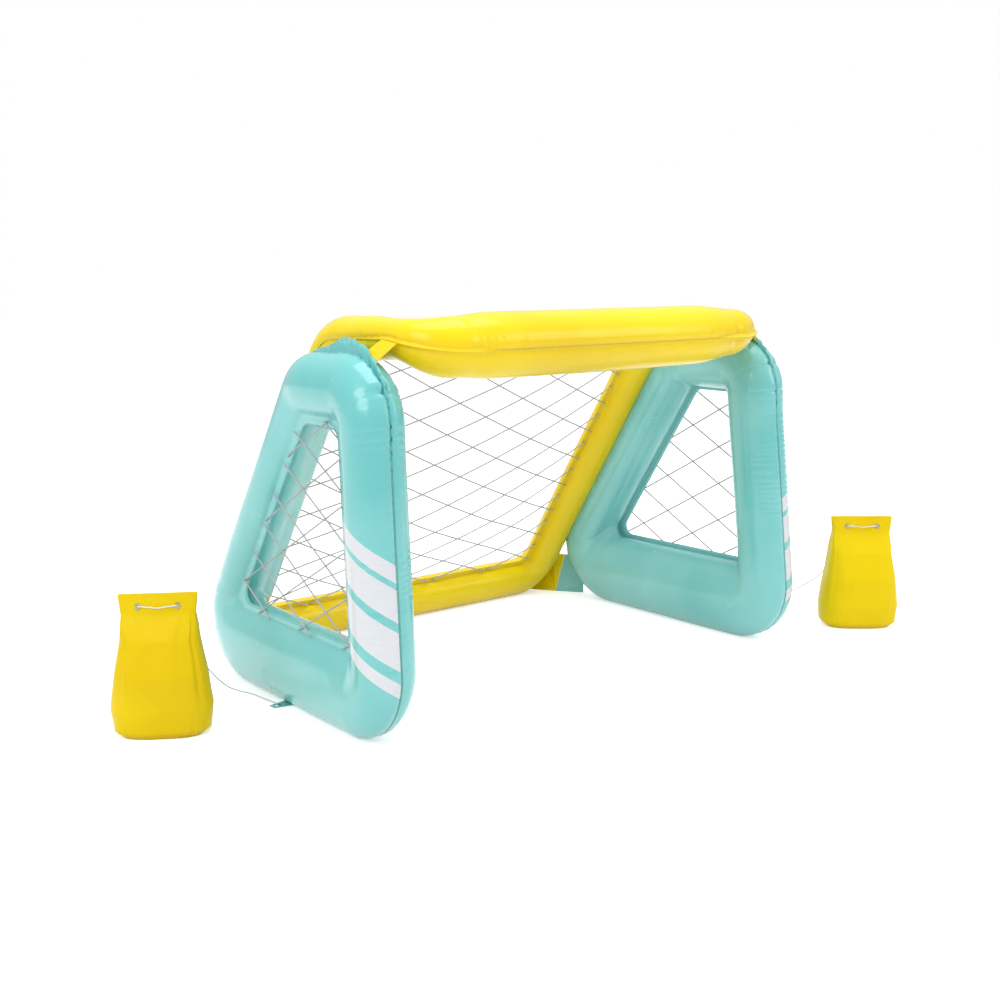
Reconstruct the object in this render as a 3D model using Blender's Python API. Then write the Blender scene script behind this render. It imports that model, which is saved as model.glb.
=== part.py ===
"""Inflatable pool goal: two trapezoid side frames, a bent ring, three nets and two ballast bags.

Metres, +Z up. The mouth faces -Y and X is the width. The origin is the middle of the strip
on which the ring's rear tube rests on the floor, on the plane of symmetry.
Every inflated chamber is a pair of plastic sheets that meet at flat weld flanges.
"""

import math

import bmesh
import bpy
from mathutils import Matrix, Vector

# Side frames: outline of the outer perimeter, seen from the side
FRAME_DEPTH = 0.896
FRAME_HEIGHT = 0.770
FRAME_FRONT_LEAN = 0.076
FRAME_REAR_LEAN = 0.505
FRAME_CORNER_RADIUS = 0.070
LEAN_IN_PER_HEIGHT = 0.0222
TOE_IN_PER_DEPTH = 0.0230

# Side frame tubes: half width in the frame's plane and half thickness across it
FRONT_LEG = (0.067, 0.064)
TOP_TUBE = (0.069, 0.062)
REAR_LEG = (0.059, 0.052)
FOOT_TUBE = (0.095, 0.059)
WINDOW_SEAM_OFFSET = 0.030
WINDOW_FLANGE = 0.019
LEG_FLANGE = 0.004
TOP_FLANGE = 0.014
FOOT_STRIP = 0.016

# Ring: a flat rounded rectangle, bent over the frames
RING_HALF_WIDTH = 0.526
RING_BEND_SETBACK = 0.508
RING_TOP_RUN = 0.248
RING_TOP_RISE = 0.010
RING_NOSE_SLOPE = 0.194
RING_BEND_RADIUS = 0.100
RING_NOSE_RADIUS = 0.150
RING_CORNER_RADIUS = 0.075
RING_SIDE_TUBE = 0.046
RING_REAR_TUBE = 0.052
CROSSBAR_TUBE = 0.060
CROSSBAR_SWELL = 0.12
RING_REAR_HEIGHT = 0.0475
RING_INNER_FLANGE = 0.014
RING_OUTER_FLANGE = 0.003

# How the ring follows the frames: the feet's spread, the bend's height and the crossbar's place
RING_TO_FRAME = 0.061
RING_OVER_FRAME = 0.020
CROSSBAR_OVERHANG = 0.3008
FRAME_SPREAD = 2.0 * (RING_HALF_WIDTH + RING_TO_FRAME)
RING_BEND_HEIGHT = FRAME_HEIGHT + RING_OVER_FRAME
CROSSBAR_DISTANCE = math.hypot(RING_BEND_SETBACK, RING_BEND_HEIGHT) + CROSSBAR_OVERHANG

# Sheets, clearances and smoothness
SHEET = 0.0012
CLEARANCE = 0.0003
SECTION_STEPS = 7
ARC_STEPS = 5
SMALLEST_RADIUS = 0.004

# Nets
CORD = 0.003
WINDOW_NET_PITCH = 0.097
WINDOW_NET_SLOPE = 0.55
WINDOW_NET_SPOT = 0.300
WINDOW_NET_OVERLAP = 0.014
REAR_NET_PITCH = 0.094
REAR_NET_SLOPE = 0.49
REAR_NET_OVERLAP = 0.010
REAR_NET_SAG = 0.042
REAR_NET_LIFT = 0.0007
REAR_NET_CHAMFER = 0.020

# Valves: collar, sliding stem and hinged plug
COLLAR_RADIUS = 0.0077
COLLAR_BORE = 0.0063
COLLAR_DEPTH = 0.012
COLLAR_FLANGE_RADIUS = 0.0102
COLLAR_FLANGE_HEIGHT = 0.0012
STEM_RADIUS = 0.0059
STEM_BORE = 0.0036
STEM_DEPTH = 0.014
STEM_RIM_RADIUS = 0.0084
STEM_RIM_HEIGHT = 0.0012
PLUG_CAP_RADIUS = 0.0065
PLUG_CAP_HEIGHT = 0.0013
PLUG_SHANK_RADIUS = 0.0032
PLUG_TIP_RADIUS = 0.0024
PLUG_SHANK_DEPTH = 0.0045
PLUG_HINGE_DISTANCE = 0.0094
PLUG_STRAP_WIDTH = 0.003
PLUG_STRAP_HEIGHT = 0.0010
PLUG_PULL_LENGTH = 0.003
ROUND_SIDES = 12

# Ballast bags: height, half width, half depth and squareness from the base up
BAG_LOFT = (
    (0.000, 0.080, 0.046, 3.0),
    (0.014, 0.097, 0.058, 3.0),
    (0.060, 0.102, 0.064, 3.0),
    (0.130, 0.095, 0.058, 3.0),
    (0.200, 0.078, 0.040, 4.0),
    (0.250, 0.069, 0.016, 7.0),
    (0.292, 0.079, 0.006, 7.0),
)
BAG_SIDES = 20
LEFT_BAG = (0.298, 0.439)
LEFT_BAG_TURN = -32.0
RIGHT_BAG = (0.311, 0.030)
RIGHT_BAG_TURN = -39.5
BAG_EYELET_HEIGHT = 0.268
BAG_EYELET_SPACING = 0.078
EYELET_RADIUS = 0.0070
EYELET_HOLE = 0.0036
EYELET_HEIGHT = 0.0016
EYELET_SEAT = 0.0004
DRAWCORD = 0.0026
TETHER = 0.003

# Anchor tabs, on the floor beside the foot tubes
ANCHOR_OUT = 0.038
ANCHOR_SETBACK = 0.430
ANCHOR_START = 0.0181
ANCHOR_END = 0.062
ANCHOR_HALF_WIDTH = 0.018
TAB_THICKNESS = 0.0016

# Tether routes beyond the bags: distance out from the foot, setback from its front, height
LEFT_ROUTE = (
    (0.2600, 0.471, 0.2000),
    (0.2230, 0.458, 0.1450),
    (0.1730, 0.500, 0.1050),
    (0.1080, 0.564, 0.0400),
    (0.0650, 0.583, 0.0025),
    (0.0420, 0.545, 0.0020),
    (0.0390, 0.480, 0.0020),
)
RIGHT_ROUTE = (
    (0.3100, 0.094, 0.2000),
    (0.2800, 0.129, 0.1180),
    (0.2130, 0.172, 0.0770),
    (0.1330, 0.300, 0.0025),
    (0.0670, 0.390, 0.0020),
)

TEAL = (0.235, 0.610, 0.560, 1.0)
YELLOW = (0.880, 0.700, 0.020, 1.0)
WHITE = (0.800, 0.800, 0.800, 1.0)
STEEL = (0.620, 0.620, 0.600, 1.0)
CLEAR = (0.750, 0.780, 0.780, 1.0)

# The ring's rear run: unit steps along it and out of it, in (y, z)
RING_LEAN = math.hypot(RING_BEND_SETBACK, RING_BEND_HEIGHT)
RING_UP = Vector((-RING_BEND_SETBACK / RING_LEAN, RING_BEND_HEIGHT / RING_LEAN))
RING_OUT = Vector((RING_UP.y, -RING_UP.x))


def clear_scene():
    for old in list(bpy.data.objects):
        bpy.data.objects.remove(old, do_unlink=True)


def material(name, colour, roughness, metallic=0.0):
    made = bpy.data.materials.new(name)
    made.use_nodes = True
    shader = made.node_tree.nodes["Principled BSDF"]
    shader.inputs["Base Color"].default_value = colour
    shader.inputs["Roughness"].default_value = roughness
    shader.inputs["Metallic"].default_value = metallic
    return made


def link(name, data, finish=None):
    thing = bpy.data.objects.new(name, data)
    bpy.context.scene.collection.objects.link(thing)
    if finish is not None:
        data.materials.append(finish)
    return thing


def mesh_from(name, points, faces, smooth_angle=None):
    """A mesh with outward faces."""
    bm = bmesh.new()
    made = [bm.verts.new(point) for point in points]
    for face in faces:
        bm.faces.new([made[i] for i in face])
    bmesh.ops.recalc_face_normals(bm, faces=bm.faces)
    mesh = bpy.data.meshes.new(name)
    bm.to_mesh(mesh)
    bm.free()
    if smooth_angle is not None:
        mesh.shade_smooth()
        mesh.set_sharp_from_angle(angle=math.radians(smooth_angle))
    return mesh


def turned(name, profile, smooth_angle=35.0):
    """A round piece about Z: a closed ring, or a solid when the profile ends on the axis."""
    points, rows = [], []
    for radius, height in profile:
        if radius == 0.0:
            rows.append([len(points)] * ROUND_SIDES)
            points.append((0.0, 0.0, height))
            continue
        row = []
        for i in range(ROUND_SIDES):
            angle = 2.0 * math.pi * i / ROUND_SIDES
            row.append(len(points))
            points.append((radius * math.cos(angle), radius * math.sin(angle), height))
        rows.append(row)
    solid = profile[0][0] == 0.0
    faces = []
    for r in range(len(rows) - 1 if solid else len(rows)):
        lower, upper = rows[r], rows[(r + 1) % len(rows)]
        for i in range(ROUND_SIDES):
            j = (i + 1) % ROUND_SIDES
            face = []
            for index in (lower[i], lower[j], upper[j], upper[i]):
                if index not in face:
                    face.append(index)
            faces.append(face)
    return mesh_from(name, points, faces, smooth_angle)


def box_mesh(name, low, high):
    points = [(x, y, z) for x in (low[0], high[0]) for y in (low[1], high[1]) for z in (low[2], high[2])]
    faces = ((0, 1, 3, 2), (4, 6, 7, 5), (0, 4, 5, 1), (2, 3, 7, 6), (0, 2, 6, 4), (1, 5, 7, 3))
    return mesh_from(name, points, faces)


def plate_mesh(name, outline, place, height):
    """A flat tab: the outline is in the flat coordinates that place takes."""
    points, faces = [], []
    for side in (-0.5, 0.5):
        for flat in outline:
            points.append(place(flat[0], flat[1], height + side * TAB_THICKNESS))
    count = len(outline)
    faces.append(list(range(count)))
    faces.append(list(range(count, 2 * count)))
    for i in range(count):
        j = (i + 1) % count
        faces.append((i, j, count + j, count + i))
    return mesh_from(name, points, faces)


def folded_plate(name, corners):
    """A thin plate on corners that are not in one plane, folded along lines from the first."""
    count = len(corners)
    folds = [(0, k, k + 1) for k in range(1, count - 1)]
    normals = [Vector() for _ in corners]
    for a, b, c in folds:
        normal = (corners[b] - corners[a]).cross(corners[c] - corners[a])
        for k in (a, b, c):
            normals[k] += normal
    points = []
    for side in (-0.5, 0.5):
        for spot, normal in zip(corners, normals):
            points.append(spot + normal.normalized() * side * TAB_THICKNESS)
    faces = list(folds)
    faces += [(count + a, count + b, count + c) for a, b, c in folds]
    for i in range(count):
        j = (i + 1) % count
        faces += [(i, j, count + j), (i, count + j, count + i)]
    return mesh_from(name, points, faces)


def smoothstep(t):
    return t * t * (3.0 - 2.0 * t)


def mix(a, b, t):
    return tuple(x + (y - x) * t for x, y in zip(a, b))


def rotated(vector, angle):
    c, s = math.cos(angle), math.sin(angle)
    return Vector((vector.x * c - vector.y * s, vector.x * s + vector.y * c))


def inward_normal(start, end, middle):
    along = (end - start).normalized()
    normal = Vector((-along.y, along.x))
    return normal if normal.dot(middle - start) > 0.0 else -normal


def offset_corners(corners, offsets):
    """Corners of a polygon whose sides are moved inward, each by its own offset."""
    middle = sum(corners, Vector((0.0, 0.0))) / len(corners)
    lines = []
    for i, start in enumerate(corners):
        end = corners[(i + 1) % len(corners)]
        lines.append((start + inward_normal(start, end, middle) * offsets[i], (end - start).normalized()))
    moved = []
    for i in range(len(corners)):
        (p, d), (q, e) = lines[i - 1], lines[i]
        moved.append(p + d * ((q - p).cross(e) / d.cross(e)))
    return moved


def rounded_loop(corners, radii, fractions):
    """Points round a polygon: an arc at each corner, then the given fractions of each side."""
    arcs = []
    for i, corner in enumerate(corners):
        back = (corners[i - 1] - corner).normalized()
        ahead = (corners[(i + 1) % len(corners)] - corner).normalized()
        half = math.acos(back.dot(ahead)) / 2.0
        reach = radii[i] / math.tan(half)
        centre = corner + (back + ahead).normalized() * (radii[i] / math.sin(half))
        arcs.append((corner + back * reach, corner + ahead * reach, centre))
    loop = []
    for i, (start, end, centre) in enumerate(arcs):
        first, last = start - centre, end - centre
        sweep = math.atan2(first.cross(last), first.dot(last))
        for step in range(ARC_STEPS + 1):
            loop.append(centre + rotated(first, sweep * step / ARC_STEPS))
        following = arcs[(i + 1) % len(arcs)][0]
        for t in fractions[i]:
            loop.append(end.lerp(following, t))
    return loop


def sheet_section(tube, side, seam_offset, inner_flange):
    """Outer and inner outline of one sheet, as (distance out of the loop, height).

    Side is 1 for the sheet above the seam and -1 for the one below it.
    """
    a, b, outer_flange, foot = tube
    roll = math.asin(seam_offset / b) * side
    sweep = math.pi - roll
    face = CLEARANCE / 2.0
    back = face + SHEET
    tip = a + outer_flange
    root = -a * math.cos(roll)
    outer = [
        mix((tip, side * back), (a, side * face), foot),
        mix((a, side * back), (a, side * FOOT_STRIP), foot),
    ]
    inner = [
        mix((tip, side * face), (a - SHEET, side * face), foot),
        mix((a - SHEET, side * face), (a - SHEET, side * (FOOT_STRIP - SHEET / 2.0)), foot),
    ]
    for k in range(1, SECTION_STEPS):
        angle = sweep * k / SECTION_STEPS
        outer.append((a * math.cos(angle), side * b * math.sin(angle)))
        inner.append(((a - SHEET) * math.cos(angle), side * (b - SHEET) * math.sin(angle)))
    outer.append((root, seam_offset + side * back))
    outer.append((root - inner_flange, seam_offset + side * back))
    inner.append((root + SHEET, seam_offset + side * face))
    inner.append((root - inner_flange, seam_offset + side * face))
    return outer, inner


class Tubing:
    """An inflated loop that follows a rounded polygon. Its two sheets share the sizes."""

    def __init__(self, outline, tubes, radius, fractions, place, seam_offset, inner_flange, swell=None):
        self.outline = outline
        self.tubes = tubes
        self.radius = radius
        self.fractions = fractions
        self.place = place
        self.seam_offset = seam_offset
        self.inner_flange = inner_flange
        self.swell = swell
        self.grids = {}

    def row(self, side_index, step):
        """Index of a station on a side: step 0 is the end of the arc before it."""
        count = 0
        for i in range(side_index):
            count += ARC_STEPS + 1 + len(self.fractions[i])
        return count + ARC_STEPS + step

    def path(self, points):
        """Where one point of every side's section runs round the loop."""
        widths = [tube[0] for tube in self.tubes]
        offsets = [width - point[0] for width, point in zip(widths, points)]
        radii = []
        for i in range(len(widths)):
            shift = (widths[i - 1] + widths[i] - offsets[i - 1] - offsets[i]) / 2.0
            radii.append(max(SMALLEST_RADIUS, self.radius + shift))
        flats = rounded_loop(offset_corners(self.outline, offsets), radii, self.fractions)
        heights = []
        for i in range(len(widths)):
            for step in range(ARC_STEPS + 1):
                t = smoothstep(step / ARC_STEPS)
                heights.append(points[i - 1][1] + (points[i][1] - points[i - 1][1]) * t)
            heights += [points[i][1]] * len(self.fractions[i])
        return list(zip(flats, heights))

    def sheet(self, name, side):
        sections = []
        for tube in self.tubes:
            outer, inner = sheet_section(tube, side, self.seam_offset, self.inner_flange)
            sections.append(outer + inner[::-1])
        width = len(sections[0])
        paths = [self.path([section[k] for section in sections]) for k in range(width)]
        grid = []
        for r in range(len(paths[0])):
            line = []
            for k in range(width):
                flat, height = paths[k][r]
                if self.swell is not None:
                    flat, height = self.swell(flat, height)
                spot = self.place(flat.x, flat.y, height)
                spot.z = max(spot.z, 0.0 if k < width // 2 else SHEET)
                line.append(spot)
            grid.append(line)
        self.grids[side] = grid
        points = [spot for line in grid for spot in line]
        faces = []
        for r in range(len(grid)):
            following = (r + 1) % len(grid)
            for k in range(width):
                l = (k + 1) % width
                faces.append((r * width + k, r * width + l, following * width + l, following * width + k))
        return mesh_from(name, points, faces, 40.0)

    def facet(self, side, row, step, reach):
        """A matrix on one flat facet of a sheet, with Z out of the chamber."""
        grid = self.grids[side]
        here, following = grid[row], grid[(row + 1) % len(grid)]
        k = step + 1
        low, high = here[k].lerp(following[k], reach), here[k + 1].lerp(following[k + 1], reach)
        along = (following[k] - here[k]).normalized()
        normal = along.cross(high - low).normalized()
        middle = (low + high) / 2.0
        half = len(here) // 2
        core = sum(here[:half], Vector()) / half
        if normal.dot(middle - core) < 0.0:
            normal.negate()
        across = normal.cross(along)
        return Matrix.Translation(middle) @ Matrix((along, across, normal)).transposed().to_4x4()


class Profile:
    """The line that the ring's middle surface follows, in (y, z), from the rear floor forward."""

    def __init__(self, corners, radii):
        self.parts = []
        place = corners[0]
        for i in range(1, len(corners) - 1):
            back = (corners[i - 1] - corners[i]).normalized()
            ahead = (corners[i + 1] - corners[i]).normalized()
            half = math.acos(back.dot(ahead)) / 2.0
            reach = radii[i - 1] / math.tan(half)
            centre = corners[i] + (back + ahead).normalized() * (radii[i - 1] / math.sin(half))
            start, end = corners[i] + back * reach, corners[i] + ahead * reach
            self.parts.append(((start - place).length, place, start, None))
            self.parts.append((radii[i - 1] * (math.pi - 2.0 * half), start, end, centre))
            place = end
        self.parts.append(((corners[-1] - place).length, place, corners[-1], None))

    def at(self, distance):
        """Point and outward normal at a distance from the rear end, straight on past both ends."""
        run, index = distance, 0
        while run > self.parts[index][0] and index < len(self.parts) - 1:
            run -= self.parts[index][0]
            index += 1
        length, start, end, centre = self.parts[index]
        if centre is None:
            along = (end - start).normalized()
            return start + along * run, Vector((along.y, -along.x))
        arm = rotated(start - centre, run / (start - centre).length)
        return centre + arm, arm.normalized()


def clip_line(polygon, point, direction):
    """The ends of a line inside a convex polygon, or None where it misses."""
    low, high = -10.0, 10.0
    middle = sum(polygon, Vector((0.0, 0.0))) / len(polygon)
    for i, start in enumerate(polygon):
        normal = inward_normal(start, polygon[(i + 1) % len(polygon)], middle)
        slope = normal.dot(direction)
        t = -normal.dot(point - start) / slope
        if slope > 0.0:
            low = max(low, t)
        else:
            high = min(high, t)
    if high - low < 4.0 * CORD:
        return None
    return point + direction * low, point + direction * high


def net_lines(polygon, pitch, slope, middle, rise, fall):
    """The straight cords of a diamond net. Rise and fall place a cord of each family at middle."""
    lines = []
    for sign, shift in ((1.0, rise), (-1.0, fall)):
        direction = Vector((1.0, sign * slope)).normalized()
        for k in range(-24, 25):
            ends = clip_line(polygon, Vector((middle, k * pitch + shift)), direction)
            if ends is not None:
                lines.append((sign, ends))
    return lines


def net_graph(lines):
    """Knots and cord stretches of the net. Cords that cross no other are left out."""
    knots, stretches = [], []
    for sign, (start, end) in lines:
        along = end - start
        margin = 2.0 * CORD / along.length
        stops = []
        for other_sign, (p, q) in lines:
            if other_sign == sign:
                continue
            t = (p - start).cross(q - p) / along.cross(q - p)
            s = (p - start).cross(along) / along.cross(q - p)
            if 0.0 < t < 1.0 and 0.0 < s < 1.0:
                stops.append(t)
        if not stops:
            continue
        stops.sort()
        if stops[0] > margin:
            stops.insert(0, 0.0)
        if stops[-1] < 1.0 - margin:
            stops.append(1.0)
        chain = []
        for t in stops:
            spot = start + along * t
            found = [i for i, knot in enumerate(knots) if (knot - spot).length < 1e-5]
            if not found:
                found = [len(knots)]
                knots.append(spot)
            chain.append(found[0])
        stretches += list(zip(chain, chain[1:]))
    return knots, stretches


def net_mesh(name, knots, stretches, place, height):
    """A net of square cords, height being the middle of the cords off the seam plane."""
    half = CORD / 2.0
    around = {}
    for a, b in stretches:
        around.setdefault(a, []).append(b)
        around.setdefault(b, []).append(a)
    points, faces = [], []

    def add(flat):
        points.append(place(flat.x, flat.y, height - half))
        points.append(place(flat.x, flat.y, height + half))
        return len(points) - 2

    left_of, right_of = {}, {}
    for knot, others in around.items():
        spot = knots[knot]
        ways = {other: (knots[other] - spot).normalized() for other in others}
        others.sort(key=lambda other: math.atan2(ways[other].y, ways[other].x))
        if len(others) == 1:
            way = ways[others[0]]
            aside = Vector((-way.y, way.x)) * half
            a, b = add(spot + aside), add(spot - aside)
            left_of[knot, others[0]], right_of[knot, others[0]] = a, b
            faces.append((a, b, b + 1, a + 1))
            continue
        corners = []
        for i, other in enumerate(others):
            following = others[(i + 1) % len(others)]
            d, e = ways[other], ways[following]
            reach = 0.0
            if abs(d.cross(e)) > 0.02:
                reach = half * (1.0 + d.dot(e)) / d.cross(e)
            corner = add(spot + Vector((-d.y, d.x)) * half + d * reach)
            left_of[knot, other] = corner
            right_of[knot, following] = corner
            corners.append(corner)
        if len(corners) > 2:
            faces.append(corners)
            faces.append([corner + 1 for corner in corners])
    for a, b in stretches:
        ring = (right_of[a, b], left_of[b, a], right_of[b, a], left_of[a, b])
        faces.append(ring)
        faces.append([corner + 1 for corner in ring])
        faces.append((ring[0], ring[1], ring[1] + 1, ring[0] + 1))
        faces.append((ring[2], ring[3], ring[3] + 1, ring[2] + 1))
    return mesh_from(name, points, faces)


def combine(target, tool, operation):
    """Cut a tool out of a piece, or join it on, and keep the tool out of the picture."""
    tool.hide_render = True
    tool.display_type = "WIRE"
    change = target.modifiers.new(tool.name, "BOOLEAN")
    change.operation = operation
    change.solver = "EXACT"
    change.object = tool


def make_valve(prefix, sheet, matrix, sheet_finish, plug_finish):
    """Collar, stem and plug in a hole in a sheet, on a matrix whose Z leaves the chamber."""
    reach = 5.0 * SHEET
    cut = COLLAR_RADIUS + CLEARANCE
    hole = ((0.0, -reach), (cut, -reach), (cut, reach), (0.0, reach))
    cutter = link(prefix + "_hole", turned(prefix + "_hole", hole))
    cutter.matrix_world = matrix
    combine(sheet, cutter, "DIFFERENCE")

    flange_top = CLEARANCE + COLLAR_FLANGE_HEIGHT
    collar = (
        (COLLAR_BORE, -COLLAR_DEPTH),
        (COLLAR_RADIUS, -COLLAR_DEPTH),
        (COLLAR_RADIUS, CLEARANCE),
        (COLLAR_FLANGE_RADIUS, CLEARANCE),
        (COLLAR_FLANGE_RADIUS, flange_top),
        (COLLAR_BORE, flange_top),
    )
    rim = flange_top + CLEARANCE
    rim_top = rim + STEM_RIM_HEIGHT
    stem = (
        (STEM_BORE, -STEM_DEPTH),
        (STEM_RADIUS, -STEM_DEPTH),
        (STEM_RADIUS, rim),
        (STEM_RIM_RADIUS, rim),
        (STEM_RIM_RADIUS, rim_top),
        (STEM_BORE, rim_top),
    )
    cap = rim_top + CLEARANCE
    cap_top = cap + PLUG_CAP_HEIGHT
    plug = (
        (0.0, cap - PLUG_SHANK_DEPTH),
        (PLUG_TIP_RADIUS, cap - PLUG_SHANK_DEPTH),
        (PLUG_SHANK_RADIUS, cap),
        (PLUG_CAP_RADIUS, cap),
        (PLUG_CAP_RADIUS, cap_top),
        (0.0, cap_top),
    )
    pieces = {}
    for kind, profile, finish in (("collar", collar, sheet_finish), ("stem", stem, plug_finish), ("plug", plug, plug_finish)):
        name = prefix + "_valve_" + kind
        pieces[kind] = link(name, turned(name, profile), finish)
        pieces[kind].matrix_world = matrix

    strap_low = cap + 0.1 * PLUG_CAP_HEIGHT
    hinge_height = strap_low + PLUG_STRAP_HEIGHT / 2.0
    start = -PLUG_CAP_RADIUS - PLUG_PULL_LENGTH
    end = PLUG_HINGE_DISTANCE + PLUG_STRAP_HEIGHT / 2.0
    half = PLUG_STRAP_WIDTH / 2.0
    strap = box_mesh(prefix + "_strap", (start, -half, strap_low), (end, half, strap_low + PLUG_STRAP_HEIGHT))
    strap_tool = link(prefix + "_strap", strap)
    strap_tool.matrix_world = matrix
    combine(pieces["plug"], strap_tool, "UNION")

    hinge = matrix @ Vector((PLUG_HINGE_DISTANCE, 0.0, hinge_height))
    print(prefix, "valve hinge", [round(v, 5) for v in hinge], "hinge axis", [round(v, 5) for v in matrix.col[1][:3]],
          "slide axis", [round(v, 5) for v in matrix.col[2][:3]])


def bag_outline(height):
    """Half width, half depth and squareness of the bag at a height."""
    for low, high in zip(BAG_LOFT, BAG_LOFT[1:]):
        if height <= high[0]:
            return mix(low[1:], high[1:], (height - low[0]) / (high[0] - low[0]))
    return BAG_LOFT[-1][1:]


def bag_mesh(name):
    """A filled bag: flat base, swollen belly and a mouth pressed flat."""
    points, faces = [], []
    for height, half_width, half_depth, squareness in BAG_LOFT:
        power = 2.0 / squareness
        for i in range(BAG_SIDES):
            angle = 2.0 * math.pi * (i + 0.5) / BAG_SIDES
            c, s = math.cos(angle), math.sin(angle)
            x = math.copysign(abs(c) ** power, c) * half_width
            y = math.copysign(abs(s) ** power, s) * half_depth
            points.append((x, y, height))
    rows = len(BAG_LOFT)
    faces.append(list(range(BAG_SIDES)))
    faces.append(list(range((rows - 1) * BAG_SIDES, rows * BAG_SIDES)))
    for row in range(rows - 1):
        base = row * BAG_SIDES
        for i in range(BAG_SIDES):
            j = (i + 1) % BAG_SIDES
            faces.append((base + i, base + j, base + BAG_SIDES + j, base + BAG_SIDES + i))
    return mesh_from(name, points, faces, 50.0)


def face_matrix(bag_matrix, x, front):
    """A matrix on the bag's front or back face at eyelet height, with Z out of the face."""
    depth = bag_outline(BAG_EYELET_HEIGHT)[1]
    low, high = BAG_LOFT[-2], BAG_LOFT[-1]
    tilt = math.atan2(low[2] - high[2], high[0] - low[0])
    out = Vector((0.0, -math.cos(tilt), math.sin(tilt)))
    down = Vector((0.0, -math.sin(tilt), -math.cos(tilt)))
    across = down.cross(out)
    turn = Matrix((across, down, out)).transposed().to_4x4()
    local = Matrix.Translation((x, -depth, BAG_EYELET_HEIGHT)) @ turn
    if not front:
        local = Matrix.Rotation(math.pi, 4, "Z") @ local
    return bag_matrix @ local


def eyelet(name, matrix, finish):
    profile = (
        (EYELET_HOLE, EYELET_SEAT),
        (EYELET_RADIUS, EYELET_SEAT),
        (EYELET_RADIUS - EYELET_HEIGHT / 2.0, EYELET_SEAT + EYELET_HEIGHT),
        (EYELET_HOLE, EYELET_SEAT + EYELET_HEIGHT),
    )
    piece = link(name, turned(name, profile), finish)
    piece.matrix_world = matrix


def out_of_eyelet(matrix, way, diameter):
    """A cord's first points: up out of an eyelet's hole and over its edge, along a flat way."""
    low = diameter / 2.0 + CLEARANCE
    high = low + EYELET_SEAT + EYELET_HEIGHT
    hops = ((0.0, low), (0.0028, high), (0.0070, high))
    return [matrix @ Vector((way[0] * r, way[1] * r, h)) for r, h in hops]


def smooth_route(points, spacing, passes):
    """Evenly spaced points along a route, with its bends eased."""
    total = sum((b - a).length for a, b in zip(points, points[1:]))
    count = round(total / spacing)
    even, walked, index = [points[0].copy()], 0.0, 0
    for k in range(1, count):
        target = total * k / count
        while walked + (points[index + 1] - points[index]).length < target:
            walked += (points[index + 1] - points[index]).length
            index += 1
        share = (target - walked) / (points[index + 1] - points[index]).length
        even.append(points[index].lerp(points[index + 1], share))
    even.append(points[-1].copy())
    for _ in range(passes):
        eased = [even[0]]
        for before, here, after in zip(even, even[1:], even[2:]):
            eased.append(here * 0.5 + (before + after) * 0.25)
        even = eased + [even[-1]]
    return even


def cord_object(name, points, diameter, finish):
    """A round cord with closed ends."""
    curve = bpy.data.curves.new(name, "CURVE")
    curve.dimensions = "3D"
    curve.bevel_depth = diameter / 2.0
    curve.bevel_resolution = 2
    curve.resolution_u = 1
    curve.render_resolution_u = 0
    curve.use_fill_caps = True
    spline = curve.splines.new("POLY")
    spline.points.add(len(points) - 1)
    for target, point in zip(spline.points, points):
        target.co = (point.x, point.y, point.z, 1.0)
    link(name, curve, finish)


def strip_shift():
    """How far forward of the rear tube's middle the middle of its floor strip lies."""
    total = 0.0
    for k in (1, 2):
        angle = math.pi * k / SECTION_STEPS
        total += RING_REAR_TUBE * (math.cos(angle) * RING_UP.x + math.sin(angle) * RING_OUT.x)
    return total / 2.0


REAR_FOOT = RING_REAR_HEIGHT * RING_BEND_SETBACK / RING_BEND_HEIGHT + strip_shift()
FRONT_FOOT = REAR_FOOT - FRAME_DEPTH


def make_frame(label, side, finish, net_finish, net_rise, net_fall):
    """One side frame: two sheets and the net in its window."""
    outline = [
        Vector((FRONT_FOOT, 0.0)),
        Vector((FRONT_FOOT + FRAME_FRONT_LEAN, FRAME_HEIGHT)),
        Vector((REAR_FOOT - FRAME_REAR_LEAN, FRAME_HEIGHT)),
        Vector((REAR_FOOT, 0.0)),
    ]
    tubes = [
        FRONT_LEG + (LEG_FLANGE, 0.0),
        TOP_TUBE + (TOP_FLANGE, 0.0),
        REAR_LEG + (LEG_FLANGE, 0.0),
        FOOT_TUBE + (0.0, 1.0),
    ]
    fractions = ((0.33, 0.66), (0.5,), (0.33, 0.66), (0.33, 0.66))

    def place(y, z, height):
        middle = FRAME_SPREAD / 2.0 - LEAN_IN_PER_HEIGHT * z - TOE_IN_PER_DEPTH * (y - FRONT_FOOT)
        return Vector((side * (middle + height), y, z))

    tubing = Tubing(outline, tubes, FRAME_CORNER_RADIUS, fractions, place, WINDOW_SEAM_OFFSET, WINDOW_FLANGE)
    sheets = {}
    for face, sign in (("outer", 1), ("inner", -1)):
        name = label + "_frame_" + face + "_sheet"
        sheets[face] = link(name, tubing.sheet(name, sign), finish)

    insets = []
    for a, b, _, _ in tubes:
        root = a * (1.0 + math.sqrt(1.0 - (WINDOW_SEAM_OFFSET / b) ** 2))
        insets.append(root + WINDOW_FLANGE - WINDOW_NET_OVERLAP)
    window = offset_corners(outline, insets)
    spot = FRONT_FOOT + WINDOW_NET_SPOT
    knots, stretches = net_graph(net_lines(window, WINDOW_NET_PITCH, WINDOW_NET_SLOPE, spot, net_rise, net_fall))
    height = WINDOW_SEAM_OFFSET + 1.5 * CLEARANCE + SHEET + CORD / 2.0
    name = label + "_window_net"
    link(name, net_mesh(name, knots, stretches, place, height), net_finish)
    return tubing, sheets


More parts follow.
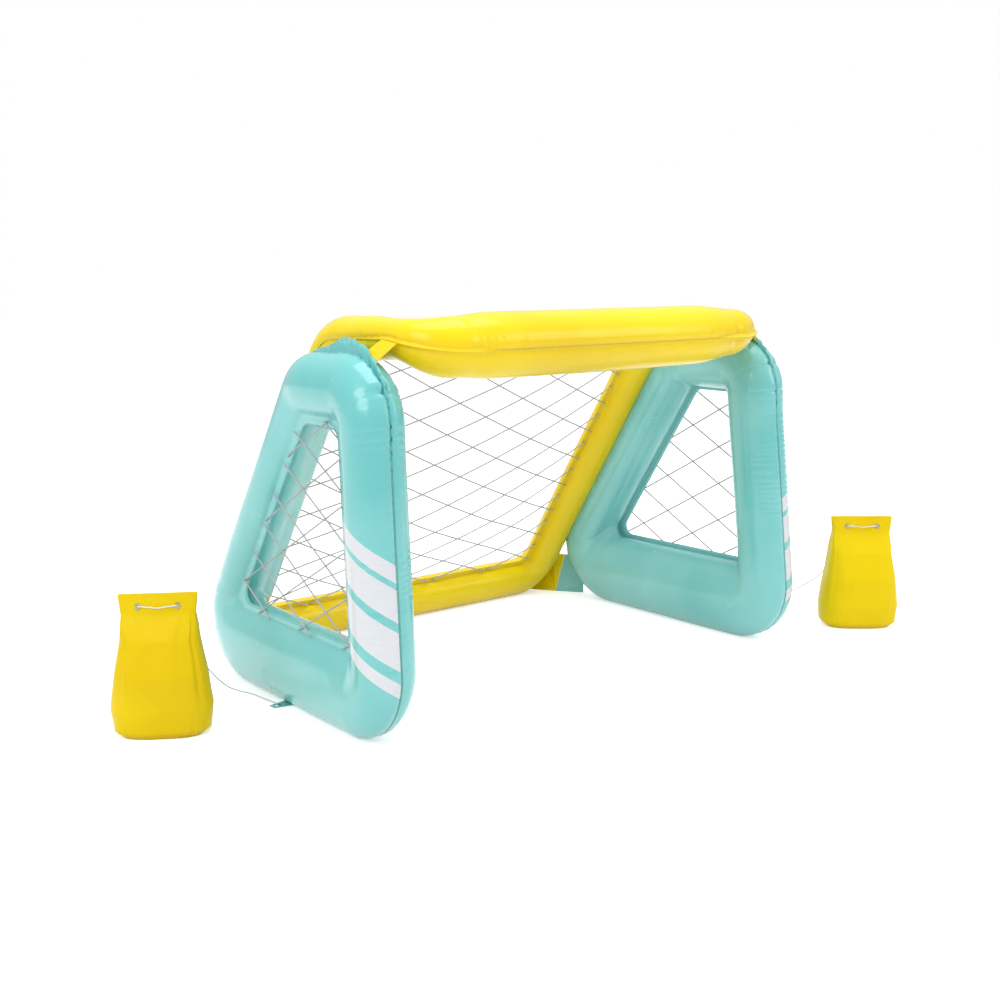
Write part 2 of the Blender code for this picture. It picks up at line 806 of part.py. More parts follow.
def make_ring(finish, net_finish):
    """The bent ring: back sheet, front sheet and the net across it."""
    foot = Vector((REAR_FOOT, 0.0))
    bend = foot + Vector((-RING_BEND_SETBACK, RING_BEND_HEIGHT))
    brow = bend + Vector((-RING_TOP_RUN, RING_TOP_RISE))
    nose = brow + Vector((-0.3, -0.3 * RING_NOSE_SLOPE))
    profile = Profile([foot, bend, brow, nose], [RING_BEND_RADIUS, RING_NOSE_RADIUS])

    def place(x, distance, height):
        spot, normal = profile.at(distance)
        return Vector((x, spot.x + normal.x * height, spot.y + normal.y * height))

    low = RING_REAR_HEIGHT / RING_UP.y - RING_REAR_TUBE
    high = CROSSBAR_DISTANCE + CROSSBAR_TUBE
    outline = [
        Vector((-RING_HALF_WIDTH, low)),
        Vector((-RING_HALF_WIDTH, high)),
        Vector((RING_HALF_WIDTH, high)),
        Vector((RING_HALF_WIDTH, low)),
    ]
    tubes = []
    for radius in (RING_SIDE_TUBE, CROSSBAR_TUBE, RING_SIDE_TUBE, RING_REAR_TUBE):
        tubes.append((radius, radius, RING_OUTER_FLANGE, 0.0))
    start = low + RING_REAR_TUBE + RING_CORNER_RADIUS
    span = CROSSBAR_DISTANCE - RING_CORNER_RADIUS - start
    bend_start, bend_length = profile.parts[0][0], profile.parts[1][0]
    marks = [bend_start * 0.4, bend_start * 0.75]
    marks += [bend_start + bend_length * share for share in (-0.04, 0.2, 0.4, 0.6, 0.8, 1.04)]
    rising = [(mark - start) / span for mark in marks]
    falling = [1.0 - t for t in reversed(rising)]
    fractions = (rising, (0.2, 0.5, 0.8), falling, (0.5,))

    def swell(flat, height):
        share = min(1.0, max(0.0, (flat.y - CROSSBAR_DISTANCE + 2.0 * CROSSBAR_TUBE) / CROSSBAR_TUBE))
        across = max(0.0, 1.0 - (flat.x / (RING_HALF_WIDTH - CROSSBAR_TUBE)) ** 2)
        growth = CROSSBAR_SWELL * across * share
        return Vector((flat.x, flat.y + (flat.y - CROSSBAR_DISTANCE) * growth)), height * (1.0 + growth)

    tubing = Tubing(outline, tubes, RING_CORNER_RADIUS, fractions, place, 0.0, RING_INNER_FLANGE, swell)
    sheets = {}
    for face, sign in (("back", 1), ("front", -1)):
        name = "ring_" + face + "_sheet"
        sheets[face] = link(name, tubing.sheet(name, sign), finish)

    keep = RING_INNER_FLANGE - REAR_NET_OVERLAP
    wide = RING_HALF_WIDTH - 2.0 * RING_SIDE_TUBE - keep
    bottom = low + 2.0 * RING_REAR_TUBE + keep
    top = CROSSBAR_DISTANCE - CROSSBAR_TUBE * (1.0 + CROSSBAR_SWELL) - keep
    cut = REAR_NET_CHAMFER
    window = []
    for x, y in ((-wide, bottom + cut), (-wide, top - cut), (cut - wide, top), (wide - cut, top),
                 (wide, top - cut), (wide, bottom + cut), (wide - cut, bottom), (cut - wide, bottom)):
        window.append(Vector((x, y)))
    knots, stretches = net_graph(net_lines(window, REAR_NET_PITCH, REAR_NET_SLOPE, 0.0, 0.068, 0.057))

    def sagging(x, distance, height):
        across = max(0.0, 1.0 - (x / (wide - REAR_NET_OVERLAP)) ** 2)
        share = (distance - bottom - REAR_NET_OVERLAP) / (top - bottom - 2.0 * REAR_NET_OVERLAP)
        along = min(1.0, max(0.0, 5.6 * share * (1.0 - share)))
        return place(x, distance, height - REAR_NET_SAG * across * along)

    height = -(1.5 * CLEARANCE + SHEET + CORD / 2.0 + REAR_NET_LIFT)
    link("rear_net", net_mesh("rear_net", knots, stretches, sagging, height), net_finish)
    return tubing, sheets


def make_bag(label, side, spot, turn, route, finishes):
    """One ballast bag with eyelets, drawcord and tether, and its anchor on the floor."""
    teal, yellow, cord, steel = finishes

    def outside(out, setback, height):
        return Vector((side * (FRAME_SPREAD / 2.0 + out), FRONT_FOOT + setback, height))

    matrix = Matrix.Translation(outside(*spot, 0.0)) @ Matrix.Rotation(math.radians(turn), 4, "Z")
    bag = link(label + "_bag", bag_mesh(label + "_bag"), yellow)
    bag.matrix_world = matrix
    left = face_matrix(matrix, -BAG_EYELET_SPACING / 2.0, True)
    right = face_matrix(matrix, BAG_EYELET_SPACING / 2.0, True)
    back = face_matrix(matrix, 0.0, False)
    eyelet(label + "_bag_eyelet_a", left, steel)
    eyelet(label + "_bag_eyelet_b", right, steel)
    eyelet(label + "_bag_rear_eyelet", back, steel)
    middle = (left @ Vector((0.0, 0.004, 0.0036))).lerp(right @ Vector((0.0, 0.004, 0.0036)), 0.5)
    drawn = out_of_eyelet(left, (-1.0, 0.0), DRAWCORD) + [middle] + out_of_eyelet(right, (1.0, 0.0), DRAWCORD)[::-1]
    cord_object(label + "_drawcord", drawn, DRAWCORD, cord)

    floor_y = FRONT_FOOT + ANCHOR_SETBACK
    middle_x = FRAME_SPREAD / 2.0 - TOE_IN_PER_DEPTH * ANCHOR_SETBACK
    outline = (
        (side * (middle_x + ANCHOR_START), floor_y - ANCHOR_HALF_WIDTH),
        (side * (middle_x + ANCHOR_START), floor_y + ANCHOR_HALF_WIDTH),
        (side * (middle_x + ANCHOR_END), floor_y + 0.6 * ANCHOR_HALF_WIDTH),
        (side * (middle_x + ANCHOR_END), floor_y - 0.6 * ANCHOR_HALF_WIDTH),
    )
    name = label + "_anchor_tab"
    link(name, plate_mesh(name, outline, lambda x, y, z: Vector((x, y, z)), TAB_THICKNESS / 2.0), teal)
    anchor = Matrix.Translation(outside(ANCHOR_OUT, ANCHOR_SETBACK, TAB_THICKNESS))
    eyelet(label + "_anchor_eyelet", anchor, steel)

    way = Vector((side * (route[-1][0] - ANCHOR_OUT), route[-1][1] - ANCHOR_SETBACK)).normalized()
    landing = out_of_eyelet(anchor, way, TETHER)
    landing.append(anchor @ Vector((way.x * 0.018, way.y * 0.018, 0.0030)))
    leaving = out_of_eyelet(back, (0.0, 1.0), TETHER)
    stops = [leaving[-1]] + [outside(*stop) for stop in route] + [landing[-1]]
    points = leaving[:-1] + smooth_route(stops, 0.016, 3) + landing[-2::-1]
    cord_object(label + "_tether", points, TETHER, cord)


def off_seam(tubing, row):
    """A point just off the seam's tip at a station, clear of it by half a plate and a gap."""
    upper, lower = tubing.grids[1][row], tubing.grids[-1][row]
    half = len(upper) // 2
    tip = (upper[0] + lower[0]) / 2.0
    core = sum(upper[:half] + lower[:half], Vector()) / (2.0 * half)
    return tip + (tip - core).normalized() * (TAB_THICKNESS / 2.0 + 2.0 * CLEARANCE)


def make_corner_tabs(label, side, teal, yellow, ring, frame):
    """Thin tabs that join the ring's corners to the side frame. They follow both seams."""
    if side > 0.0:
        rear_rows = [ring.row(3, step - ARC_STEPS) for step in range(ARC_STEPS)]
        front_rows = (ring.row(2, 0), ring.row(2, -1))
    else:
        rear_rows = [ring.row(0, -step) for step in range(ARC_STEPS)]
        front_rows = (ring.row(1, -ARC_STEPS), ring.row(1, 1 - ARC_STEPS))

    # The rear tab and flap run forward from the ring's corner to the frame's, down to the floor.
    floor = 0.75 * TAB_THICKNESS
    web = [off_seam(ring, row) for row in rear_rows]
    high, low = off_seam(frame, frame.row(3, -3)), off_seam(frame, frame.row(3, -2))
    toe = Vector((low.x, low.y, floor))
    heel = web[-1].lerp(toe, 0.59)
    heel.z = floor
    crest = web[0].lerp(high, 0.5)
    name = label + "_rear_tab"
    link(name, folded_plate(name, [heel, crest] + web), yellow)
    apart = (toe - heel).normalized() * 2.0 * CLEARANCE
    name = label + "_rear_flap"
    link(name, folded_plate(name, [heel + apart, toe, low, high, crest + apart]), teal)

    # The front tab runs from the ring's edge to the inner face of the frame's top flange.
    near, far = [off_seam(ring, row) for row in front_rows]
    landings = []
    for step in (-1, -2):
        row = frame.row(1, step)
        outer, inner = frame.grids[1][row], frame.grids[-1][row]
        away = (inner[0] - outer[0]).normalized()
        landings.append(inner[1].lerp(inner[0], 0.6) + away * (TAB_THICKNESS / 3.0 + CLEARANCE))
    name = label + "_front_tab"
    link(name, folded_plate(name, [near, far, landings[1], landings[0]]), yellow)


def main():
    clear_scene()
    teal = material("teal_pvc", TEAL, 0.22)
    yellow = material("yellow_pvc", YELLOW, 0.22)
    cord = material("white_cord", WHITE, 0.8)
    clear = material("valve_plastic", CLEAR, 0.25)
    steel = material("eyelet_metal", STEEL, 0.3, 1.0)

    left_tubing, left_sheets = make_frame("left", -1.0, teal, cord, 0.373, 0.410)
    right_tubing, right_sheets = make_frame("right", 1.0, teal, cord, 0.394, 0.362)
    ring_tubing, ring_sheets = make_ring(yellow, cord)

    foot_row = left_tubing.row(3, 2)
    make_valve("left", left_sheets["inner"], left_tubing.facet(-1, foot_row, 2, 0.5), teal, clear)
    make_valve("right", right_sheets["outer"], right_tubing.facet(1, foot_row, 3, 0.5), teal, clear)
    rear_row = ring_tubing.row(3, 0)
    make_valve("ring", ring_sheets["back"], ring_tubing.facet(1, rear_row, 2, 0.4), yellow, clear)

    finishes = (teal, yellow, cord, steel)
    make_bag("left", -1.0, LEFT_BAG, LEFT_BAG_TURN, LEFT_ROUTE, finishes)
    make_bag("right", 1.0, RIGHT_BAG, RIGHT_BAG_TURN, RIGHT_ROUTE, finishes)
    make_corner_tabs("left", -1.0, teal, yellow, ring_tubing, left_tubing)
    make_corner_tabs("right", 1.0, teal, yellow, ring_tubing, right_tubing)


main()
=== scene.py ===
"""Looks of the inflatable goal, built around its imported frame: skins, nets, bags, cords, light."""

import math

import bmesh
import bpy
import numpy as np
from mathutils import Matrix, Vector


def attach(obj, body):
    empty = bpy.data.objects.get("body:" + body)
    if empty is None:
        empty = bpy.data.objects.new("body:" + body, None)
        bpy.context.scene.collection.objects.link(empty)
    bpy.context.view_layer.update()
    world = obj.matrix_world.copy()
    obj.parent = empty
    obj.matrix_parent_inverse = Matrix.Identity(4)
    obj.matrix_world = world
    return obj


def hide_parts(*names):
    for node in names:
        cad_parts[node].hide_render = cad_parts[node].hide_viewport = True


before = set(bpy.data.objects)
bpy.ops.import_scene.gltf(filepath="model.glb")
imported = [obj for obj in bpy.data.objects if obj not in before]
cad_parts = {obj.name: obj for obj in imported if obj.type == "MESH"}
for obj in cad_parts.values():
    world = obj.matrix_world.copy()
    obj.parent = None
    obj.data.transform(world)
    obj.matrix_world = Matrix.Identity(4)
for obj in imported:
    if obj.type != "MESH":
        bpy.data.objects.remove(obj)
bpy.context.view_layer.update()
scene = bpy.context.scene

# Side frames, in metres: the same driving sizes as the solids. A tube is its half width in the
# frame's plane, then its half depth across it
FRONT_FOOT = -0.8604
REAR_FOOT = 0.0356
FRAME_HEIGHT = 0.770
FRONT_LEAN = 0.076
REAR_LEAN = 0.505
FRAME_SPREAD = 1.174
LEAN_IN_PER_HEIGHT = 0.0222
TOE_IN_PER_DEPTH = 0.0230
FRAME_CORNER_RADIUS = 0.070
FRONT_LEG = (0.067, 0.064)
TOP_TUBE = (0.069, 0.062)
REAR_LEG = (0.059, 0.052)
FOOT_TUBE = (0.095, 0.059)
WINDOW_SEAM_OFFSET = 0.030
WINDOW_FLANGE = 0.019
FOOT_STRIP = 0.016
LEG_FLANGE = 0.002
TOP_FLANGE = 0.038
FRAME_CORNERS = [
    (FRONT_FOOT, 0.0),
    (FRONT_FOOT + FRONT_LEAN, FRAME_HEIGHT),
    (REAR_FOOT - REAR_LEAN, FRAME_HEIGHT),
    (REAR_FOOT, 0.0),
]

# Bent ring
RING_HALF_WIDTH = 0.526
RING_BEND_HEIGHT = 0.790
RING_BEND_SETBACK = 0.508
RING_TOP_RUN = 0.248
RING_TOP_RISE = 0.010
RING_NOSE_SLOPE = 0.194
RING_NOSE_RUN = 0.3
RING_BEND_RADIUS = 0.100
RING_NOSE_RADIUS = 0.150
RING_CORNER_RADIUS = 0.075
CROSSBAR_DISTANCE = 1.240
RING_SIDE_TUBE = 0.046
RING_REAR_TUBE = 0.052
CROSSBAR_TUBE = 0.060
RING_OUTER_FLANGE = 0.003
RING_REAR_HEIGHT = 0.0475
RING_INNER_FLANGE = 0.014

# The crossbar swells toward its middle, most underneath, and its left end bulges down
CROSSBAR_SWELL = 0.12
SWELL_BELOW = 2.0
SWELL_ABOVE = 0.2
LOBE = 0.20
LOBE_X = -0.490
LOBE_WIDTH = 0.100
LOBE_LENGTH = 0.080

# Sheet, weld seams and mesh spacing
SHEET = 0.0012
SEAM_GROOVE = 0.0045
GROOVE_WIDTH = 0.0060
INNER_RADIUS = 0.024
ARC_STEPS = 26
TUBE_STEPS = 24
SEAM_CROWDING = 0.12

# Points along each side, between its corners
FRAME_COUNTS = (190, 40, 110, 70)
RING_COUNTS = (190, 150, 190, 110)

# Points across each weld flange, as shares of its width, and the columns they take up
FLANGE_SHARES = (1.0, 0.66, 0.33, 0.0)
WINDOW_SHARES = (0.0, 0.5, 1.0)
SEAM = len(FLANGE_SHARES) - 1
WINDOW = len(WINDOW_SHARES)

# Pleats of the flange that stands on a frame's top front corner
FLANGE_CURL = 1.3
FLANGE_AT_REST = 0.15
PLEAT_PITCH = 0.025
PLEAT_NOTCH = 0.16
PLEAT_SWING = 0.0042

# Nets, whose phases shift the two families of cords
NET_CORD = 0.0036
NET_WEAVE = 0.45 * NET_CORD
NET_POINT_SPACING = 0.010
SHORTEST_CORD = 4.0 * NET_CORD
NET_CORDS_EACH_WAY = 24
WINDOW_NET_PITCH = 0.097
WINDOW_NET_SLOPE = 0.55
WINDOW_NET_SPOT = 0.300
WINDOW_NET_OVERLAP = 0.014
LEFT_NET_PHASES = (0.373, 0.410)
RIGHT_NET_PHASES = (0.394, 0.362)
REAR_NET_PITCH = 0.094
REAR_NET_SLOPE = 0.49
REAR_NET_OVERLAP = 0.010
REAR_NET_SAG = 0.042
SAG_FULLNESS = 5.6
REAR_NET_CHAMFER = 0.020
REAR_NET_PHASES = (0.068, 0.057)

# Ballast bags: height, half width, half depth and squareness at each level
BAG_LOFT = (
    (0.000, 0.080, 0.046, 3.0),
    (0.014, 0.097, 0.058, 3.0),
    (0.060, 0.101, 0.064, 3.0),
    (0.130, 0.092, 0.058, 3.0),
    (0.200, 0.079, 0.040, 4.0),
    (0.250, 0.074, 0.016, 7.0),
    (0.292, 0.079, 0.006, 7.0),
)
BAG_POINTS_AROUND = 120
BAG_HEIGHTS = np.concatenate([np.linspace(0.0, 0.014, 6), np.linspace(0.018, 0.290, 84)])
BAG_MEAN_RADIUS = 0.09

# Rows of the mouth's rolled edge and its inside: how far in from the lip, and how far up
BAG_RIM = ((0.0, 0.0012), (0.0009, 0.0016), (0.0018, 0.0004), (0.0022, -0.006), (0.0026, -0.020))

# The mouth's two faces close on each other by a share for each metre in, up to a limit
RIM_CLOSING = 180.0
RIM_CLOSED = 0.9

# Where each bag stands: across, behind the front foot, and its turn in degrees
LEFT_BAG = (-0.885, 0.439, -32.0)
RIGHT_BAG = (0.898, 0.030, -39.5)

# Eyelets, cords and anchors
BAG_EYELET_HEIGHT = 0.268
BAG_EYELET_SPACING = 0.078
EYELET_RADIUS = 0.0070
EYELET_EDGE = 0.0028
EYELET_HEIGHT = 0.0016
EYELET_SEAT = 0.0004
CLEARANCE = 0.0003
DRAWCORD = 0.0026
DRAWCORD_SAG = 0.004
DRAWCORD_OUT = 0.0036
TETHER = 0.003
TETHER_SPACING = 0.016
TETHER_EASING = 3
LANDING_REACH = 0.018
LANDING_HEIGHT = 0.0030
ANCHOR_X = 0.625
ANCHOR_SETBACK = 0.430
TAB_THICKNESS = 0.0016

# The tethers' ways: across, behind the front foot, and height
LEFT_ROUTE = (
    (-0.8470, 0.471, 0.2000),
    (-0.8100, 0.458, 0.1450),
    (-0.7600, 0.500, 0.1050),
    (-0.6950, 0.564, 0.0400),
    (-0.6520, 0.583, 0.0025),
    (-0.6290, 0.545, 0.0020),
    (-0.6260, 0.480, 0.0020),
)
RIGHT_ROUTE = (
    (0.8970, 0.094, 0.2000),
    (0.8670, 0.129, 0.1180),
    (0.8000, 0.172, 0.0770),
    (0.7200, 0.300, 0.0025),
    (0.6540, 0.390, 0.0020),
)

# Stripes on the front legs: height at the seam, and how fast they climb across the sheet
STRIPES = ((0.112, 0.141), (0.166, 0.2415), (0.261, 0.325), (0.338, 0.373))
STRIPE_CLIMB = 0.64
STRIPE_EDGE = 0.0006
STRIPE_FROM_SEAM = (0.0012, 0.0024)
STRIPE_BACK = (FRONT_FOOT + 0.185, FRONT_FOOT + 0.190)
STRIPE_DULLER = 0.08
# Width and strength of the dark line along the weld seam, partly painted shade in its groove.
SEAM_AND_GROOVE_SHADE_LINE = (0.0006, 0.0026)
SEAM_AND_GROOVE_SHADE_DARKNESS = 0.9

# Colours, linear
TEAL = (0.240, 0.605, 0.600)
TEAL_DEEP = (0.135, 0.500, 0.490)
# Colour of the dark seam line, partly painted shade in the seam's groove.
TEAL_SEAM_AND_GROOVE_SHADE = (0.020, 0.260, 0.230)
YELLOW = (0.875, 0.660, 0.004)
YELLOW_DEEP = (0.800, 0.565, 0.002)
BAG_YELLOW = (0.800, 0.610, 0.000)
BAG_DEEP = (0.700, 0.490, 0.000)
STRIPE = (0.640, 0.660, 0.700)
CORD_WHITE = (0.78, 0.78, 0.77)
# The net's cords are white; this grey is painted shade on them.
NET_WHITE_IN_PAINTED_SHADE = (0.44, 0.44, 0.45)
EYELET_GREY = (0.62, 0.62, 0.60)
VALVE_WHITE = (0.72, 0.76, 0.76)
FLOOR_WHITE = (0.86, 0.86, 0.86, 1.0)
PURE_WHITE = (1.0, 1.0, 1.0, 1.0)

# Camera, fitted to the photograph
CAMERA_PLACE = (-1.9988, -2.8571, 0.9491)
CAMERA_AZIMUTH = -39.48
CAMERA_DOWN = 10.22
CAMERA_LENS = 47.65
CAMERA_SENSOR = 36.0

# Studio
FLOOR_REACH = 12
FLOOR_GLOW = 0.50
LOW_SKY, HIGH_SKY = 0.58, 0.98

# Seeds of the noise
FRAME_SEEDS = {"left": 11, "right": 47}
RING_SEED = 101
BAG_SEEDS = {"left": 201, "right": 231}


def wander(x, step, seed):
    """Smooth seeded noise along a line, from -1 to 1."""
    knots = np.random.default_rng(seed).uniform(-1.0, 1.0, 1024)
    scaled = np.asarray(x) / step
    cell = np.floor(scaled).astype(int)
    t = scaled - cell
    t = t * t * (3.0 - 2.0 * t)
    return knots[cell % 1024] * (1.0 - t) + knots[(cell + 1) % 1024] * t


def wander2(x, y, step_x, step_y, seed):
    """Smooth seeded noise over a surface, from -1 to 1."""
    knots = np.random.default_rng(seed).uniform(-1.0, 1.0, (256, 256))
    x, y = np.broadcast_arrays(np.asarray(x) / step_x, np.asarray(y) / step_y)
    i, j = np.floor(x).astype(int), np.floor(y).astype(int)
    s, t = x - i, y - j
    s, t = s * s * (3.0 - 2.0 * s), t * t * (3.0 - 2.0 * t)
    i, j = i % 256, j % 256
    k, l = (i + 1) % 256, (j + 1) % 256
    low = knots[i, j] * (1.0 - s) + knots[k, j] * s
    high = knots[i, l] * (1.0 - s) + knots[k, l] * s
    return low * (1.0 - t) + high * t


def bell(x, middle, width):
    """1 at the middle, falling off smoothly on both sides."""
    return np.exp(-(((x - middle) / width) ** 2))


def ease(x, low, high):
    """0 below low, 1 above high, smooth between."""
    t = np.clip((x - low) / (high - low), 0.0, 1.0)
    return t * t * (3.0 - 2.0 * t)


def valleys(u, v, pitch, seed, width, fan=0.35):
    """Narrow creases across a seam, uneven in depth and spacing, from 0 to 1."""
    phase = u / pitch + 0.9 * wander(u, 3.1 * pitch, seed)
    phase = phase + fan * wander2(u, v, 4.0 * pitch, 0.05, seed + 1)
    cell = np.floor(phase)
    depth = np.random.default_rng(seed + 2).uniform(0.1, 1.0, 4096)[cell.astype(int) % 4096]
    return depth * bell(phase - cell, 0.5, width)


def unit(vector):
    return vector / np.linalg.norm(vector)


def offset_corners(corners, offsets):
    """Corners of a polygon whose sides are moved inward, each by its own offset."""
    middle = corners.mean(axis=0)
    lines = []
    for i, start in enumerate(corners):
        end = corners[(i + 1) % len(corners)]
        along = unit(end - start)
        normal = np.array((-along[1], along[0]))
        if normal @ (middle - start) < 0.0:
            normal = -normal
        lines.append((start + normal * offsets[i], along))
    moved = []
    for i in range(len(corners)):
        (p, d), (q, e) = lines[i - 1], lines[i]
        gap = q - p
        moved.append(p + d * ((gap[0] * e[1] - gap[1] * e[0]) / (d[0] * e[1] - d[1] * e[0])))
    return np.array(moved)


def rounded_loop(corners, radii, counts):
    """Points round a polygon: an arc at each corner, then evenly spaced points along each side."""
    arcs = []
    for i, corner in enumerate(corners):
        back = unit(corners[i - 1] - corner)
        ahead = unit(corners[(i + 1) % len(corners)] - corner)
        half = math.acos(back @ ahead) / 2.0
        reach = radii[i] / math.tan(half)
        centre = corner + unit(back + ahead) * (radii[i] / math.sin(half))
        arcs.append((corner + back * reach, corner + ahead * reach, centre))
    loop = []
    for i, (start, end, centre) in enumerate(arcs):
        first, last = start - centre, end - centre
        sweep = math.atan2(first[0] * last[1] - first[1] * last[0], first @ last)
        for angle in np.linspace(0.0, sweep, ARC_STEPS + 1):
            c, s = math.cos(angle), math.sin(angle)
            loop.append(centre + (c * first[0] - s * first[1], s * first[0] + c * first[1]))
        following = arcs[(i + 1) % len(arcs)][0]
        for t in np.arange(1, counts[i] + 1) / (counts[i] + 1.0):
            loop.append(end + (following - end) * t)
    return np.array(loop)


def chamber_section(tube, seam_offset, inner_flange):
    """Closed section of a chamber, as (distance out of the loop, height) points."""
    a, b, outer_flange, foot = tube
    half = SHEET / 2.0
    flat_angle = math.asin(FOOT_STRIP / b)
    stretch = foot * (1.0 / math.cos(flat_angle) - 1.0)
    groove = SEAM_GROOVE * (1.0 - foot)
    halves = []
    for side in (1.0, -1.0):
        roll = math.asin(seam_offset / b) * side
        sweep = math.pi - roll
        root = -a * math.cos(roll)
        top = a - groove
        points = [(top + outer_flange * share, side * half) for share in FLANGE_SHARES]
        for k in range(1, TUBE_STEPS):
            share = k / TUBE_STEPS
            angle = sweep * (share - SEAM_CROWDING * math.sin(2.0 * math.pi * share) / 2.0)
            out = a * math.cos(angle) * (1.0 + stretch * max(0.0, math.cos(angle)))
            out = min(a, out) - groove * bell(b * angle, 0.0, GROOVE_WIDTH)
            points.append((out, side * b * math.sin(angle)))
        points += [(root - inner_flange * share, seam_offset + side * half) for share in WINDOW_SHARES]
        halves.append(points)
    return halves[0] + halves[1][::-1]


class Chamber:
    """The smooth skin of one inflated loop, as a grid of rows round it and points round its section.

    u runs round the outer seam. v runs across the skin from that seam, positive over the first
    sheet and negative over the second. arc and side say where a row is: the number of its corner
    or side and how far along, or -1 elsewhere.
    """

    def __init__(self, outline, tubes, radius, counts, place, seam_offset, inner_flange, swell=None):
        sections = [chamber_section(tube, seam_offset, inner_flange) for tube in tubes]
        widths = [tube[0] for tube in tubes]
        turned = ease(np.linspace(0.0, 1.0, ARC_STEPS + 1), 0.0, 1.0)
        columns = []
        for k in range(len(sections[0])):
            offsets = [width - section[k][0] for width, section in zip(widths, sections)]
            radii = []
            for i in range(len(widths)):
                shift = (widths[i - 1] + widths[i] - offsets[i - 1] - offsets[i]) / 2.0
                radii.append(max(INNER_RADIUS, radius + shift))
            flats = rounded_loop(offset_corners(outline, offsets), radii, counts)
            heights = []
            for i in range(len(widths)):
                before, here = sections[i - 1][k][1], sections[i][k][1]
                heights += list(before + (here - before) * turned)
                heights += [here] * counts[i]
            heights = np.array(heights)
            if swell is not None:
                flats, heights = swell(flats, heights)
            columns.append(place(flats, heights))
        self.points = np.stack(columns, axis=1)
        self.half = len(sections[0]) // 2
        self.number_rows(counts)
        self.measure()

    def number_rows(self, counts):
        arc, side = [], []
        for i, count in enumerate(counts):
            arc += list(i + np.linspace(0.0, 0.999, ARC_STEPS + 1)) + [-1.0] * count
            side += [-1.0] * (ARC_STEPS + 1) + list(i + np.arange(1, count + 1) / (count + 1.0))
        self.arc, self.side = np.array(arc), np.array(side)

    def measure(self):
        seam = self.points[:, SEAM]
        steps = np.linalg.norm(np.roll(seam, -1, axis=0) - seam, axis=1)
        self.total = steps.sum()
        self.u = np.concatenate([[0.0], np.cumsum(steps)[:-1]])[:, None]
        across = np.linalg.norm(np.diff(self.points, axis=1), axis=2)
        run = np.concatenate([np.zeros((len(seam), 1)), np.cumsum(across, axis=1)], axis=1)
        self.v = run - run[:, SEAM:SEAM + 1]
        self.v[:, self.half:] = run[:, self.half:] - run[:, -1 - SEAM:-SEAM]
        self.window = np.abs(self.v[:, self.half - WINDOW])[:, None]

    def near_arc(self, index, spread=0.10):
        """1 within a corner's arc, falling off along the seam on both sides of it."""
        rows = np.flatnonzero((self.arc >= index) & (self.arc < index + 1))
        low, high = self.u[rows[0], 0], self.u[rows[-1], 0]
        gaps = []
        for shift in (-self.total, 0.0, self.total):
            u = self.u + shift
            gaps.append(np.maximum(np.maximum(low - u, u - high), 0.0))
        return np.exp(-((np.minimum.reduce(gaps) / spread) ** 2))

    def creases(self, depth, pitch, seed, fade, width=0.2, fan=0.35):
        """Creases across the seam, of a depth in metres, that fade by a share at each point."""
        return depth * valleys(self.u, self.v, pitch, seed, width, fan) * fade

    def normals(self):
        along = np.roll(self.points, -1, axis=0) - np.roll(self.points, 1, axis=0)
        across = np.roll(self.points, -1, axis=1) - np.roll(self.points, 1, axis=1)
        normal = np.cross(along, across)
        normal /= np.linalg.norm(normal, axis=2, keepdims=True) + 1e-12
        core = self.points.mean(axis=1, keepdims=True)
        facing = np.sum(normal * (self.points - core), axis=2)
        return normal * (1.0 if np.median(facing) > 0.0 else -1.0)

    def tube_mask(self):
        """1 on the inflated tube, 0 on the weld flanges."""
        mask = np.ones(self.points.shape[1])
        mask[:SEAM + 1] = 0.0
        mask[self.half - WINDOW:self.half + WINDOW] = 0.0
        mask[-1 - SEAM:] = 0.0
        return mask[None, :]

    def push(self, amount):
        """Moves the inflated tube's points out of the skin by an amount at each."""
        self.points += self.normals() * (amount * self.tube_mask())[:, :, None]

    def wave_flange(self, height, sideways):
        """Scales the outer flange's height and bends its edge to the side, row by row."""
        root = (self.points[:, SEAM] + self.points[:, -1 - SEAM]) / 2.0
        tip = (self.points[:, 0] + self.points[:, -1]) / 2.0
        out = tip - root
        aside = self.points[:, SEAM] - self.points[:, -1 - SEAM]
        aside /= np.linalg.norm(aside, axis=1, keepdims=True)
        for k, share in enumerate(FLANGE_SHARES[:-1]):
            bend = aside * sideways[:, None] * share ** FLANGE_CURL
            shift = out * share * (height[:, None] - 1.0) + bend
            self.points[:, k] += shift
            self.points[:, -1 - k] += shift

    def mesh(self, name, finish):
        """The skin as an object, with (u, v) in metres as its texture coordinates."""
        rows, width = self.points.shape[:2]
        data = bpy.data.meshes.new(name)
        index = np.arange(rows * width).reshape(rows, width)
        right = np.roll(index, -1, axis=1)
        quads = np.stack([index, right, np.roll(right, -1, axis=0), np.roll(index, -1, axis=0)], axis=2)
        data.from_pydata(self.points.reshape(-1, 3).tolist(), [], quads.reshape(-1, 4).tolist())
        u = np.repeat(self.u, width, axis=1)
        ahead = np.roll(u, -1, axis=0)
        ahead[-1] = self.total
        v, v_right = self.v, np.roll(self.v, -1, axis=1)
        v_ahead = np.roll(v, -1, axis=0)
        v_both = np.roll(v_right, -1, axis=0)
        corners = np.stack([u, v, u, v_right, ahead, v_both, ahead, v_ahead], axis=2)
        layer = data.uv_layers.new(name="sheet")
        layer.uv.foreach_set("vector", corners.reshape(-1).astype(np.float32))
        return finish_mesh(name, data, finish)


def finish_mesh(name, data, finish):
    """Links a mesh, turns its faces outward and gives it its material."""
    work = bmesh.new()
    work.from_mesh(data)
    bmesh.ops.recalc_face_normals(work, faces=work.faces)
    work.to_mesh(data)
    work.free()
    data.materials.append(finish)
    data.shade_smooth()
    piece = bpy.data.objects.new(name, data)
    scene.collection.objects.link(piece)
    return piece


def nodes_of(material):
    material.use_nodes = True
    tree = material.node_tree
    return tree, tree.nodes, tree.links


